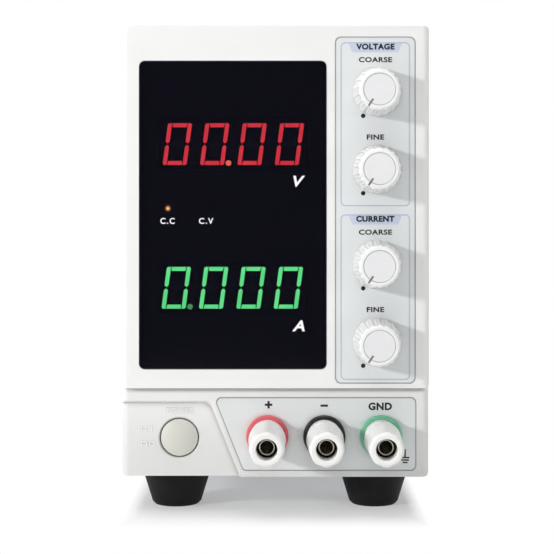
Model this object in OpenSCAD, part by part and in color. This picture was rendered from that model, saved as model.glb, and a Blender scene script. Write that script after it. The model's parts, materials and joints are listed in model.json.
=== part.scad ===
/* [Case] */
// Width of the case
case_w = 103; // [103:1:140]
// Height of the case above its feet
case_h = 150.8; // [150:0.1:200]
// Depth of the case from its front face to its rear panel
case_d = 260; // [255:1:340]
// Thickness of the steel sheet
sheet_t = 1.2; // [1:0.1:1.6]
// How far the steel cover lies inside the bezel's outline
cover_inset = 0.3; // [0.2:0.1:0.6]
// Radius of the bends of the cover
bend_r = 2; // [1.8:0.1:3]
// Height of the chassis side flanges
flange_h = 12; // [11:1:16]

/* [Feet] */
// Height of a foot
foot_h = 13; // [10:0.5:18]
// Diameter of a foot where it meets the case
foot_top_d = 24.5; // [20:0.5:28]
// Diameter of a foot on the floor
foot_base_d = 17; // [15:0.5:20]
// Distance of a foot's axis from the side of the case
foot_side = 17.2; // [15:0.1:22]
// Distance of a foot's axis from the front face and the rear panel
foot_inset = 25.5; // [25.5:0.5:34]

/* [Bezel] */
// Depth of the moulded bezel
bezel_d = 24; // [23:0.5:28]
// Wall of the moulded bezel
bezel_wall = 3.5; // [3.2:0.1:4]
// Radius of the upright edges
edge_r = 2.3; // [1:0.1:3]
// Radius of the corners seen from the front
corner_r = 1.7; // [1:0.1:2.5]
// Height of the terminal block
lower_h = 30; // [29:0.1:32]
// How far the terminal block lies behind the front face
terminal_step = 2.75; // [2:0.05:3.5]
// How far the power zone lies behind the front face
power_step = 4.75; // [4.5:0.05:6]
// Height of the power zone
power_zone_h = 24.5; // [24:0.1:26]
// Width of the soft slope round the power zone
slope_w = 1; // [0.8:0.1:2]
// Lean of the slanted edge, sideways per unit of height
slant = 0.4; // [0.2:0.02:0.6]
// Diameter of the bosses that take the case screws
boss_d = 5; // [4.6:0.1:5.4]

/* [Window] */
// Width of the display window
window_w = 62.4; // [60:0.2:63]
// Height of the display window
window_h = 102.7; // [90:0.1:103]
// Thickness of the display window
window_t = 2; // [1.5:0.1:2.2]
// Distance of the window's top edge below the top of the case
window_drop = 11.7; // [9:0.1:14]
// Gap between the window and the control panel
window_gap = 3; // [2.4:0.1:5]
// How far the window lies behind the front face
window_recess = 0.3; // [0.2:0.1:0.5]
// Width of the ledge that carries the window
window_ledge = 2; // [1.5:0.1:3]
// Radius of the window's corners
window_r = 2; // [1:0.1:3]

/* [Control panel] */
// Width of the inlaid control panel
control_w = 26.6; // [25:0.1:27]
// Height of the inlaid control panel
control_h = 115.4; // [114:0.1:116]
// Distance of the control panel from the right side
control_margin = 4.8; // [4:0.1:6]
// Distance of the control panel below the top of the case
control_drop = 3.7; // [3:0.1:5]
// Thickness of the inlaid panels
inlay_t = 0.5; // [0.4:0.1:0.8]
// How far the inlaid panels stand proud
inlay_proud = 0.1; // [0:0.05:0.2]

/* [Knobs] */
// Diameter of a knob at its base
knob_d = 16.2; // [14:0.1:18]
// Diameter of a knob at its rim
knob_rim_d = 13.6; // [13:0.1:15]
// Length of a knob
knob_h = 14.6; // [12:0.1:17]
// Diameter of the disc set into a knob
knob_cap_d = 10.4; // [9:0.1:11.4]
// Thickness of the disc set into a knob
knob_cap_t = 1.5; // [1:0.1:2]
// Gap between a knob and the panel
knob_gap = 0.4; // [0.3:0.1:0.8]
// Depth of the flutes of a knob
flute_depth = 0.3; // [0.2:0.05:0.5]
// Distances of the four knob axes below the top of the case
knob_drops = [22, 47.8, 79.5, 105.3];
// Offset of the knob axes from the middle of the control panel
knob_shift = 0.55; // [0:0.05:1]
// Diameter of a potentiometer shaft
shaft_d = 6; // [5:0.5:6.5]
// Diameter of a potentiometer's body
pot_d = 16.4; // [14:0.1:17]
// Length of a potentiometer's body
pot_l = 9; // [7:0.5:11]
// Diameter of a potentiometer's threaded neck
pot_neck_d = 8; // [7.6:0.1:9]

/* [Power button] */
// Diameter of the power button
button_d = 12.5; // [11:0.1:13]
// Radial gap round the power button
button_gap = 0.35; // [0.3:0.05:0.6]
// How far the latched button stands out
button_proud = 1; // [0.6:0.1:2]
// Length of the button's cap
button_l = 9; // [7:0.5:10]
// Distance of the button's axis from the left side
button_side = 19.3; // [18.6:0.1:21]
// Height of the button's axis above the underside of the case
button_rise = 12.8; // [12:0.1:14]
// Width of the switch body
switch_w = 14; // [12:0.5:16]
// Length of the switch body
switch_l = 18; // [16:0.5:20]
// Diameter of the switch plunger
plunger_d = 5; // [4:0.5:6]

/* [Terminals] */
// Distance between neighbouring binding posts
post_pitch = 19.05; // [18:0.05:19.5]
// Distance of the last binding post from the right side
post_side = 16; // [15:0.1:18]
// Height of the binding posts above the underside of the case
post_rise = 13.7; // [12:0.1:14]
// How far the binding posts stand out of the terminal block
post_reach = 29.5; // [24:0.5:32]
// Diameter of a coloured collar
collar_d = 14.1; // [13.6:0.1:15.5]
// Thickness of a coloured collar
collar_t = 2; // [1.5:0.1:2.5]
// Diameter of a post cap at its base
cap_base_d = 11.4; // [11.2:0.1:12]
// Diameter of a post cap where it is widest
cap_wide_d = 12.3; // [12:0.1:13]
// Distance of a post cap's widest part from its base
cap_flare = 7.5; // [6:0.1:9]
// Diameter of a post cap at its front
cap_front_d = 11.2; // [10.6:0.1:11.8]
// Number of flats round a post cap
cap_flats = 8; // [6:1:12]
// Depth of the flats of a post cap
cap_flat_depth = 0.2; // [0.1:0.05:0.3]
// Diameter of the hole in the front of a post cap
cap_hole_d = 6.9; // [6.8:0.1:7.6]
// Diameter of a post's threaded stud
stud_d = 6; // [5.6:0.1:6.2]
// Diameter of the plug socket in a post
socket_d = 4.1; // [4.04:0.02:4.2]
// Depth of the plug socket in a post
socket_depth = 15.2; // [14:0.1:15.2]
// How far the stud's end lies inside the cap
stud_recess = 5.5; // [4:0.1:6]
// Diameter of the wire hole across a post
wire_hole_d = 2; // [1.5:0.1:2.2]
// Distance between the terminal panel and the right side
terminal_margin = 4.2; // [4:0.1:5]
// Width of the terminal panel along its lower edge
terminal_w = 58.1; // [55:0.1:59]
// Height of the terminal panel
terminal_h = 24.7; // [23:0.1:25]
// Distance of the terminal panel above the underside of the case
terminal_rise = 2; // [2:0.1:3]

/* [Display] */
// Width of a display module
digits_w = 50.3; // [46:0.1:52]
// Height of a display module
digits_h = 19; // [17:0.1:20]
// Thickness of a display module
digits_t = 8; // [7:0.1:8]
// How far the display modules lie behind the front face
digits_depth = 6.8; // [6.8:0.1:7]
// Distance of the voltage display below the top of the case
volts_drop = 39.4; // [36:0.1:42]
// Distance of the current display below the top of the case
amps_drop = 87.7; // [84:0.1:90]
// Distance of the mode lamps below the top of the case
lamp_drop = 60.8; // [58:0.1:62]
// Distance of the first mode lamp left of the window's middle
lamp_left = 22.1; // [20:0.1:24]
// Distance between the mode lamps
lamp_pitch = 13.1; // [10:0.1:15]
// Diameter of a mode lamp
lamp_d = 3; // [3:0.1:4]
// Thickness of the circuit boards
board_t = 1.6; // [1.2:0.1:2]

/* [Power train] */
// Width of the transformer core
core_w = 86; // [76:0.5:90]
// Height of the transformer core
core_h = 72; // [64:0.5:76]
// Stack of the transformer core
core_stack = 50; // [40:1:52]
// Diameter of a filter capacitor
capacitor_d = 30; // [25:1:35]
// Height of a filter capacitor
capacitor_h = 50; // [40:1:60]
// Height of the heat sink
sink_h = 90; // [70:1:110]
// Length of the heat sink
sink_l = 78; // [60:1:84]

/* [Rear] */
// Width of the fan
fan_w = 80; // [70:1:80]
// Depth of the fan
fan_t = 25; // [20:1:26]
// Distance of the fan's axis below the top of the case
fan_drop = 50; // [48:0.5:54]
// Number of fan blades
blade_count = 7; // [5:1:9]
// Width of the inlet's flange
inlet_w = 31; // [30:0.5:34]
// Height of the inlet's flange
inlet_h = 42; // [40:0.5:44]
// Distance of the inlet from the middle of the case
inlet_side = 26; // [24:0.5:28]
// Height of the inlet's middle above the underside of the case
inlet_rise = 29; // [27:0.5:32]
// Width of the voltage selector's flange
selector_w = 34; // [30:0.5:38]
// Height of the voltage selector's flange
selector_h = 17; // [15:0.5:20]
// Travel of the voltage selector's slider
selector_travel = 5; // [4:0.5:6]

/* [Hidden] */
$fn = 64;
arc_steps = 8;

// Clearances: running round turning shafts, easy round fixed pieces, and the overrun of a cut
running = 0.06;
easy = 0.15;
over = 1;
thin = 0.01;

// The case seen from its middle
half_w = case_w / 2;
case_bottom = foot_h;
case_top = foot_h + case_h;
split_z = case_bottom + lower_h;

// The binding posts reach furthest forward, and the heads of the fan screws furthest back
front_reach = post_reach - terminal_step;
guard_wire = 2;
screw_head_t = 2.2;
rear_reach = guard_wire + screw_head_t;
face_y = (front_reach - case_d - rear_reach) / 2;
rear_y = face_y + case_d;

// The sheet-metal upright behind the bezel
upright_depth = 20;
upright_back = upright_depth + sheet_t;
upright_w = case_w - 2 * bezel_wall - 0.8;
upright_top = case_top - bezel_wall - 1;
floor_top = case_bottom + sheet_t;
cover_half = half_w - cover_inset;
cover_top = case_top - cover_inset;
cover_inside = cover_half - sheet_t;
lip_d = 4;
lip_t = 1.8;

// The rubber left under the head of a foot's screw
foot_seat = 4;

// The case screws
screw_d = 3;
screw_shank_d = 2.4;
screw_l = 8;
screw_head_d = 5.6;
pilot_d = 2.4;
side_screw_y = [face_y + bezel_d + 28, rear_y - 34];
side_screw_z = case_bottom + 7.5;
top_screw_x = half_w - 14;
top_screw_y = rear_y - 7;
boss_side = 6.5;
boss_low_z = case_bottom + 6;
boss_high_z = case_top - 7.5;
boss_points = [
    [-half_w + boss_side, boss_low_z], [half_w - boss_side, boss_low_z],
    [-half_w + boss_side, boss_high_z], [half_w - boss_side, boss_high_z]
];

// Places on the front
control_x = half_w - control_margin - control_w / 2;
control_z = case_top - control_drop - control_h / 2;
knob_x = control_x + knob_shift;
knob_z = [for (drop = knob_drops) case_top - drop];
window_x = control_x - control_w / 2 - window_gap - window_w / 2;
window_z = case_top - window_drop - window_h / 2;
button_x = -half_w + button_side;
button_z = case_bottom + button_rise;
post_x = [for (i = [0:2]) half_w - post_side - (2 - i) * post_pitch];
post_z = case_bottom + post_rise;
terminal_right = half_w - terminal_margin;
terminal_low = case_bottom + terminal_rise;
terminal_left = terminal_right - terminal_w;
terminal_top = terminal_low + terminal_h;
terminal_r = 1.8;
terminal_points = [
    [terminal_left, terminal_low], [terminal_right, terminal_low],
    [terminal_right, terminal_top], [terminal_left - slant * terminal_h, terminal_top]
];
slant_margin = 2.2;
slant_foot_x = terminal_left + slant * terminal_rise - slant_margin;
power_zone_r = 3;

// The stack of a binding post, as depths behind the front face
collar_front = terminal_step - inlay_proud - collar_t;
seat_gap = 0.05;
flange_t = 1;
washer_t = 0.8;
flange_d = 9;
washer_d = 9.2;
washer_back = collar_front - flange_t - seat_gap;
cap_back = collar_front - 2 * seat_gap;
cap_front = -front_reach;
cap_shoulder = washer_back - washer_t - seat_gap;
cap_well_d = 9.6;
stud_front = cap_front + stud_recess;
stud_back = 17;
thread_end = stud_front + 6;
wire_hole_margin = 0.6;
wire_hole_depth = collar_front - flange_t - wire_hole_margin - wire_hole_d / 2;
spigot_d = 8;
post_nut_d = 11.5;
post_nut_t = 3;
terminal_back = power_step + bezel_wall;

// The front electronics
board_front = digits_depth + digits_t;
display_board_w = 58;
display_board_h = 92;
display_post_d = 5;
volts_z = case_top - volts_drop;
amps_z = case_top - amps_drop;
lamp_z = case_top - lamp_drop;
display_post_margin = 3.5;
display_post_x = display_board_w / 2 - display_post_margin;
display_post_z = display_board_h / 2 - display_post_margin;
display_opening_margin = 8;
neck_l = 8;
pot_nut_d = 12;
pot_nut_t = 2;
shaft_end = upright_back + pot_l - 2.5;
knob_back = -inlay_proud - knob_gap;
knob_front = knob_back - knob_h;
hub_d = 9.6;
knob_wall = 1.4;

// The floor of the case
board_rise = 8;
board_z = floor_top + board_rise;
main_board_w = 90;
main_board_front = 45;
transformer_y = rear_y - 72;
transformer_room = 17;
main_board_l = transformer_y - core_stack / 2 - transformer_room - face_y - main_board_front;
main_board_y = face_y + main_board_front + main_board_l / 2;
board_post_margin = 5;
board_post_x = main_board_w / 2 - board_post_margin;
board_post_y = main_board_l / 2 - board_post_margin;
leg_w = core_w / 6;
sink_base = 6;
sink_fin_l = 24;
sink_fin_t = 1.6;
sink_fins = 9;
sink_x = -12;
sink_y = main_board_y + 4;

// The rear
fan_z = case_top - fan_drop;
fan_hole_d = fan_w - 4;
fan_screw_margin = 4.25;
fan_screw_at = fan_w / 2 - fan_screw_margin;
fan_screw_d = 4;
fan_flange_t = 4;
hub_r = 18;
blade_r = fan_hole_d / 2 - 1.2;
blade_pitch = 38;
axle_d = 3;
axle_l = fan_t - 4;
rear_panel_half = cover_inside - 0.2;
rear_panel_top = cover_top - sheet_t - 0.1;
rear_flange_l = 12;
inlet_x = inlet_side;
inlet_z = case_bottom + inlet_rise;
inlet_body_w = 27;
inlet_body_h = 36;
inlet_body_l = 22;
inlet_flange_t = 2;
socket_w = 24.4;
socket_h = 16.4;
socket_l = 17;
socket_cut = 4.6;
socket_drop = 8.5;
drawer_rise = 10.5;
drawer_w = 23;
drawer_h = 8;
drawer_l = 18;
drawer_plate_t = 1.6;
fuse_d = 5.2;
fuse_l = 20;
// Live, neutral and earth, seen from behind
pin_points = [[-7, -2], [7, -2], [0, 2]];
pin_w = 2;
pin_h = 4;
selector_x = -inlet_side + 2;
selector_z = inlet_z - 8;
selector_body_l = 9;
selector_well_w = 15;
selector_well_h = 6.6;
slider_w = 8;
slider_proud = 1.2;

// Vents
vent_w = 3;
vent_l = 20;
vent_pitch = 7;
vent_row_gap = 7;

// ---- Helpers ----

function unit(v) = v / norm(v);

// Points of the arc of radius r that rounds the corner b between a and c
function corner_arc(a, b, c, r) =
    let (
        u = unit(a - b),
        v = unit(c - b),
        half = acos(u * v) / 2,
        middle = b + unit(u + v) * r / sin(half),
        first = b + u * r / tan(half),
        last = b + v * r / tan(half),
        start = atan2(first.y - middle.y, first.x - middle.x),
        turn = atan2(last.y - middle.y, last.x - middle.x) - start,
        sweep = turn > 180 ? turn - 360 : (turn < -180 ? turn + 360 : turn)
    )
    [for (i = [0:arc_steps])
        middle + r * [cos(start + sweep * i / arc_steps), sin(start + sweep * i / arc_steps)]];

// A closed outline with every corner rounded
function rounded(points, r) =
    let (n = len(points))
    [for (i = [0:n - 1]) each corner_arc(points[(i + n - 1) % n], points[i], points[(i + 1) % n], r)];

module rounded_rect(w, h, r) {
    polygon(rounded([[-w / 2, -h / 2], [w / 2, -h / 2], [w / 2, h / 2], [-w / 2, h / 2]], r));
}

// A slot with round ends, long along Y
module slot(w, l) {
    translate([0, (l - w) / 2])
        circle(d = w, $fn = 24);
    translate([0, (w - l) / 2])
        circle(d = w, $fn = 24);
    square([w, l - w], center = true);
}

// Drawn as seen from the front: local X right, local Y up, local Z towards the user
module face_at(x, z, depth) {
    translate([x, face_y + depth, z])
        rotate([90, 0, 0])
            children();
}

// Drawn as seen from behind: local X right, local Y up, local Z out of the rear panel
module rear_at(x, z, out = 0) {
    translate([x, rear_y + out, z])
        rotate([90, 0, 180])
            children();
}

// A plate seen from the front, between two depths behind the front face
module face_plate(x, z, front, back) {
    face_at(x, z, back)
        linear_extrude(back - front)
            children();
}

// A round bar along the depth of the case
module face_bar(x, z, front, back, d) {
    face_at(x, z, back)
        cylinder(d = d, h = back - front);
}

// ---- Casing ----

// A block of the bezel's plan between two heights, its upright front edges rounded
module bezel_slab(depth, inset, low, high) {
    front = face_y + depth + inset;
    back = face_y + bezel_d + (inset > 0 ? over : 0);
    side = half_w - inset;
    r = max(0.6, edge_r - inset);
    left = corner_arc([-side, back], [-side, front], [side, front], r);
    right = corner_arc([-side, front], [side, front], [side, back], r);
    translate([0, 0, low])
        linear_extrude(high - low)
            polygon(concat([[side, back], [-side, back]], left, right));
}

// The same block with the corners seen from the front rounded too
module bezel_zone(depth, low, high) {
    intersection() {
        bezel_slab(depth, 0, low, high);
        face_plate(0, (low + high) / 2, 0, bezel_d)
            rounded_rect(case_w, high - low, corner_r);
    }
}

module power_zone_outline(grow) {
    low = case_bottom - 5;
    high = case_bottom + power_zone_h + grow;
    left = -half_w - 5;
    foot = slant_foot_x + grow + slant * 5;
    top = slant_foot_x + grow - slant * (power_zone_h + grow);
    corner = corner_arc([foot, low], [top, high], [left, high], power_zone_r);
    polygon(concat([[left, high], [left, low], [foot, low]], corner));
}

// What is taken off the terminal block over the power zone, with a soft slope at its edge
module power_zone_cut() {
    hull() {
        face_plate(0, 0, terminal_step - thin, terminal_step)
            power_zone_outline(slope_w);
        face_plate(0, 0, power_step - thin, power_step)
            power_zone_outline(0);
    }
    face_plate(0, 0, power_step - thin, bezel_d + over)
        power_zone_outline(0);
}

module bezel_mass() {
    bezel_zone(power_step, case_bottom, case_top);
    difference() {
        bezel_zone(terminal_step, case_bottom, case_top);
        power_zone_cut();
    }
    bezel_zone(0, split_z, case_top);
}

// The tongue that the steel cover slides over, at the top and the sides
module bezel_lip() {
    side = cover_inside - 0.2;
    low = split_z;
    high = cover_top - sheet_t - 0.2;
    inner = half_w - bezel_wall;
    face_plate(0, 0, bezel_d - over, bezel_d + lip_d)
        difference() {
            translate([0, (low + high) / 2])
                rounded_rect(2 * side, high - low, bend_r - sheet_t + 0.3);
            translate([-inner, low - over])
                square([2 * inner, high - low + over - lip_t]);
        }
}

module bezel_cavity() {
    low = case_bottom + bezel_wall;
    high = case_top - bezel_wall;
    bezel_slab(power_step, bezel_wall, low, high);
    bezel_slab(0, bezel_wall, split_z + bezel_wall, high);
    // The chassis floor runs under the bezel here
    translate([-upright_w / 2 - 0.2, face_y + upright_depth - 0.3, case_bottom - over])
        cube([upright_w + 0.4, bezel_d, bezel_wall + 2 * over]);
}

module front_bezel() {
    hole = button_d + 2 * button_gap;
    mouth = 0.5;
    sleeve_wall = 1.5;
    sleeve_back = power_step + bezel_wall + 4;
    boss_root = bezel_wall - 0.5;
    color("whitesmoke")
        difference() {
            union() {
                difference() {
                    bezel_mass();
                    bezel_cavity();
                }
                bezel_lip();
                for (p = boss_points) {
                    step = p.y < split_z ? power_step : 0;
                    face_bar(p.x, p.y, boss_root + step, upright_depth, boss_d);
                }
                face_bar(button_x, button_z, power_step + over, sleeve_back, hole + 2 * sleeve_wall);
            }
            for (p = boss_points)
                face_bar(p.x, p.y, upright_depth - screw_l, upright_depth + over, pilot_d);
            face_plate(window_x, window_z, -over, window_recess + window_t)
                rounded_rect(window_w + 2 * easy, window_h + 2 * easy, window_r);
            face_plate(window_x, window_z, 0, bezel_d)
                rounded_rect(window_w - 2 * window_ledge, window_h - 2 * window_ledge, window_r);
            face_plate(control_x, control_z, -over, inlay_t - inlay_proud)
                rounded_rect(control_w + 2 * easy, control_h + 2 * easy, window_r);
            face_plate(0, 0, -over, terminal_step + inlay_t - inlay_proud)
                polygon(rounded(terminal_points, terminal_r));
            for (z = knob_z)
                face_bar(knob_x, z, -over, bezel_d, pot_neck_d);
            for (x = post_x)
                face_bar(x, post_z, -over, bezel_d, spigot_d + 2 * easy);
            face_bar(button_x, button_z, -over, bezel_d, hole);
            face_at(button_x, button_z, power_step + mouth)
                cylinder(d1 = hole, d2 = hole + 4 * mouth, h = 2 * mouth);
        }
}

module display_window() {
    color([0.05, 0.05, 0.07, 0.6])
        face_plate(window_x, window_z, window_recess, window_recess + window_t)
            rounded_rect(window_w, window_h, window_r);
}

module control_overlay() {
    color("gainsboro")
        face_plate(control_x, control_z, -inlay_proud, inlay_t - inlay_proud)
            difference() {
                rounded_rect(control_w, control_h, window_r);
                for (z = knob_z)
                    translate([knob_x - control_x, z - control_z])
                        circle(d = pot_neck_d);
            }
}

module terminal_overlay() {
    shrink = 0.15;
    middle = [terminal_right - terminal_w / 2, terminal_low + terminal_h / 2];
    inner = [for (p = terminal_points) p + shrink * [sign(middle.x - p.x), sign(middle.y - p.y)]];
    color("lightgray")
        face_plate(0, 0, terminal_step - inlay_proud, terminal_step + inlay_t - inlay_proud)
            difference() {
                polygon(rounded(inner, terminal_r));
                for (x = post_x)
                    translate([x, post_z])
                        circle(d = spigot_d + 2 * easy);
            }
}

// The floor of the chassis: narrow inside the bezel, wide behind it
module chassis_floor() {
    front = face_y + upright_depth;
    shoulder = face_y + bezel_d + 0.3;
    back = rear_y - sheet_t - 0.2;
    tongue = upright_w / 2;
    side = cover_inside - 0.1;
    translate([0, 0, case_bottom])
        linear_extrude(sheet_t)
            difference() {
                polygon([
                    [-tongue, front], [tongue, front], [tongue, shoulder], [side, shoulder],
                    [side, back], [-side, back], [-side, shoulder], [-tongue, shoulder]
                ]);
                for (x = [-1, 1], y = [face_y + foot_inset, rear_y - foot_inset])
                    translate([x * (half_w - foot_side), y])
                        circle(d = screw_d + 2 * easy);
                for (i = [-4:4], row = [-1, 1])
                    translate([i * vent_pitch, main_board_y + row * (vent_l + vent_row_gap) / 2])
                        slot(vent_w, vent_l);
            }
}

module chassis_upright() {
    opening_w = display_board_w - 2 * display_opening_margin;
    opening_h = display_board_h - 2 * display_opening_margin;
    face_plate(0, 0, upright_depth, upright_back)
        difference() {
            translate([-upright_w / 2, case_bottom])
                square([upright_w, upright_top - case_bottom]);
            translate([window_x, window_z])
                square([opening_w, opening_h], center = true);
            for (z = knob_z)
                translate([knob_x, z])
                    circle(d = pot_neck_d + 2 * easy);
            for (p = boss_points)
                translate(p)
                    circle(d = screw_d + 2 * easy);
            translate([button_x, button_z])
                circle(d = plunger_d + 2);
        }
}

module base_chassis() {
    side = cover_inside - 0.1;
    back = rear_y - sheet_t - 0.2;
    front = face_y + bezel_d + lip_d + 0.3;
    color("silver")
        difference() {
            union() {
                chassis_floor();
                chassis_upright();
                for (s = [-1, 1])
                    translate([s * (side - sheet_t / 2) - sheet_t / 2, front, case_bottom])
                        cube([sheet_t, back - front, flange_h]);
                for (x = [-1, 1], z = [-1, 1])
                    face_bar(window_x + x * display_post_x, window_z + z * display_post_z,
                        board_front + board_t, upright_back, display_post_d);
                for (x = [-1, 1], y = [-1, 1])
                    translate([x * board_post_x, main_board_y + y * board_post_y, case_bottom])
                        cylinder(d = display_post_d, h = sheet_t + board_rise);
            }
            for (y = side_screw_y)
                translate([-case_w, y, side_screw_z])
                    rotate([0, 90, 0])
                        cylinder(d = pilot_d, h = 2 * case_w);
        }
}

module rear_panel() {
    low = floor_top;
    flange_half = rear_panel_half - bend_r;
    color("silver")
        difference() {
            union() {
                rear_at(0, 0, -sheet_t)
                    linear_extrude(sheet_t)
                        difference() {
                            translate([0, (low + rear_panel_top) / 2])
                                rounded_rect(2 * rear_panel_half, rear_panel_top - low, bend_r);
                            translate([0, fan_z])
                                circle(d = fan_hole_d);
                            for (x = [-1, 1], z = [-1, 1])
                                translate([x * fan_screw_at, fan_z + z * fan_screw_at])
                                    circle(d = fan_screw_d + 2 * easy);
                            translate([-inlet_x, inlet_z])
                                square([inlet_body_w + 2 * easy, inlet_body_h + 2 * easy], center = true);
                            translate([-selector_x, selector_z])
                                square([selector_w - 6, selector_h - 3], center = true);
                        }
                for (z = [low, rear_panel_top - sheet_t])
                    translate([-flange_half, rear_y - rear_flange_l, z])
                        cube([2 * flange_half, rear_flange_l - sheet_t / 2, sheet_t]);
            }
            for (x = [-1, 1])
                translate([x * top_screw_x, top_screw_y, rear_panel_top - screw_l])
                    cylinder(d = pilot_d, h = 2 * screw_l);
        }
}

// Cross-section of the steel cover, a U turned over
module cover_profile() {
    inner_r = bend_r - sheet_t;
    inside_top = cover_top - sheet_t;
    outer = concat(
        [[-cover_half, case_bottom], [cover_half, case_bottom]],
        corner_arc([cover_half, case_bottom], [cover_half, cover_top], [0, cover_top], bend_r),
        corner_arc([0, cover_top], [-cover_half, cover_top], [-cover_half, case_bottom], bend_r));
    low = case_bottom - over;
    inner = concat(
        [[-cover_inside, low], [cover_inside, low]],
        corner_arc([cover_inside, low], [cover_inside, inside_top], [0, inside_top], inner_r),
        corner_arc([0, inside_top], [-cover_inside, inside_top], [-cover_inside, low], inner_r));
    difference() {
        polygon(outer);
        polygon(inner);
    }
}

module side_vents() {
    free = 60;
    count = floor((case_d - bezel_d - free) / vent_pitch / 2);
    back = rear_y - free / 2;
    low = split_z + 8;
    translate([-case_w, 0, 0])
        rotate([90, 0, 90])
            linear_extrude(2 * case_w)
                for (i = [0:count], row = [0:2])
                    translate([back - i * vent_pitch, low + row * (vent_l + vent_row_gap)])
                        slot(vent_w, vent_l);
}

module top_vents() {
    translate([0, 0, cover_top - 5])
        linear_extrude(10)
            for (i = [-5:5], row = [0:1])
                translate([i * vent_pitch, rear_y - 80 - row * (vent_l + vent_row_gap)])
                    slot(vent_w, vent_l);
}

module top_cover() {
    color("whitesmoke")
        difference() {
            face_plate(0, 0, bezel_d, case_d)
                cover_profile();
            side_vents();
            top_vents();
            for (y = side_screw_y)
                translate([-case_w, y, side_screw_z])
                    rotate([0, 90, 0])
                        cylinder(d = screw_d + 2 * easy, h = 2 * case_w);
            for (x = [-1, 1])
                translate([x * top_screw_x, top_screw_y, cover_top - 5])
                    cylinder(d = screw_d + 2 * easy, h = 10);
        }
}

// A rubber foot, hollow below for its screw
module foot(x, y) {
    base_bevel = 1;
    well_d = 9;
    well_h = foot_h - foot_seat;
    color([0.08, 0.08, 0.08])
        translate([x, y, 0])
            rotate_extrude()
                polygon([
                    [screw_d / 2 + easy, well_h], [well_d / 2, well_h], [well_d / 2, 0],
                    [foot_base_d / 2 - base_bevel, 0], [foot_base_d / 2, base_bevel],
                    [foot_top_d / 2, foot_h], [screw_d / 2 + easy, foot_h]
                ]);
}

module foot_front_left() {
    foot(-half_w + foot_side, face_y + foot_inset);
}

module foot_front_right() {
    foot(half_w - foot_side, face_y + foot_inset);
}

module foot_rear_left() {
    foot(-half_w + foot_side, rear_y - foot_inset);
}

module foot_rear_right() {
    foot(half_w - foot_side, rear_y - foot_inset);
}

// A cross-head screw whose head is seated at the origin and whose shank runs along -Z
module screw(d, l, head_d, head_t) {
    difference() {
        union() {
            translate([0, 0, -l])
                cylinder(d = d, h = l + head_t / 2, $fn = 32);
            rotate_extrude($fn = 32)
                polygon([
                    [0, 0], [head_d / 2, 0], [head_d / 2, head_t * 0.5],
                    [head_d * 0.38, head_t * 0.88], [0, head_t]
                ]);
        }
        for (a = [0, 90])
            rotate([0, 0, a])
                translate([-head_d * 0.3, -head_d * 0.06, head_t * 0.45])
                    cube([head_d * 0.6, head_d * 0.12, head_t]);
    }
}

module foot_screws() {
    color("silver")
        for (x = [-1, 1], y = [face_y + foot_inset, rear_y - foot_inset])
            translate([x * (half_w - foot_side), y, foot_h - foot_seat])
                rotate([180, 0, 0])
                    screw(screw_d, screw_l, screw_head_d, screw_head_t);
}

module case_screws() {
    short_l = 5;
    color("silver") {
        for (p = boss_points)
            rear_at(p.x, p.y, upright_back - case_d)
                screw(screw_shank_d, screw_l - over, screw_head_d, screw_head_t);
        for (s = [-1, 1], y = side_screw_y)
            translate([s * cover_half, y, side_screw_z])
                rotate([0, s * 90, 0])
                    screw(screw_shank_d, short_l, screw_head_d, cover_inset);
        for (x = [-1, 1])
            translate([x * top_screw_x, top_screw_y, cover_top])
                screw(screw_shank_d, short_l, screw_head_d, cover_inset);
    }
}

module fan_screws() {
    play = 0.4;
    head_d = 7;
    length = guard_wire + sheet_t + fan_t + over;
    color("silver")
        for (x = [-1, 1], z = [-1, 1])
            rear_at(x * fan_screw_at, fan_z + z * fan_screw_at, guard_wire)
                screw(fan_screw_d - play, length, head_d, screw_head_t);
}

// ---- Power button ----

module power_button() {
    front = power_step - button_proud;
    dome = 1.3;
    plunger_reach = 11;
    r = button_d / 2;
    dome_r = (r * r + dome * dome) / (2 * dome);
    dome_a = asin(r / dome_r);
    arc = [
        for (i = [0:arc_steps])
            let (a = dome_a * i / arc_steps)
                [dome_r * sin(a), dome_r * cos(a) - dome_r]
    ];
    color("gainsboro") {
        face_at(button_x, button_z, front)
            rotate_extrude()
                polygon(concat(arc, [[r, -button_l], [0, -button_l]]));
        face_bar(button_x, button_z, front + button_l - over, upright_back + plunger_reach, plunger_d);
    }
}

module power_switch() {
    back = upright_back + switch_l;
    tag = [2.4, 0.8];
    tag_l = 5;
    end_wall = 3;
    color([0.2, 0.2, 0.22])
        difference() {
            union() {
                face_plate(button_x, button_z, upright_back, back)
                    square(switch_w, center = true);
                for (x = [-3.5, 3.5], z = [-4, 4])
                    face_plate(button_x + x, button_z + z, back - over, back + tag_l)
                        square(tag, center = true);
            }
            face_bar(button_x, button_z, upright_back - over, back - end_wall, plunger_d + 2 * running);
        }
}

// ---- Knobs and potentiometers ----

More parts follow.
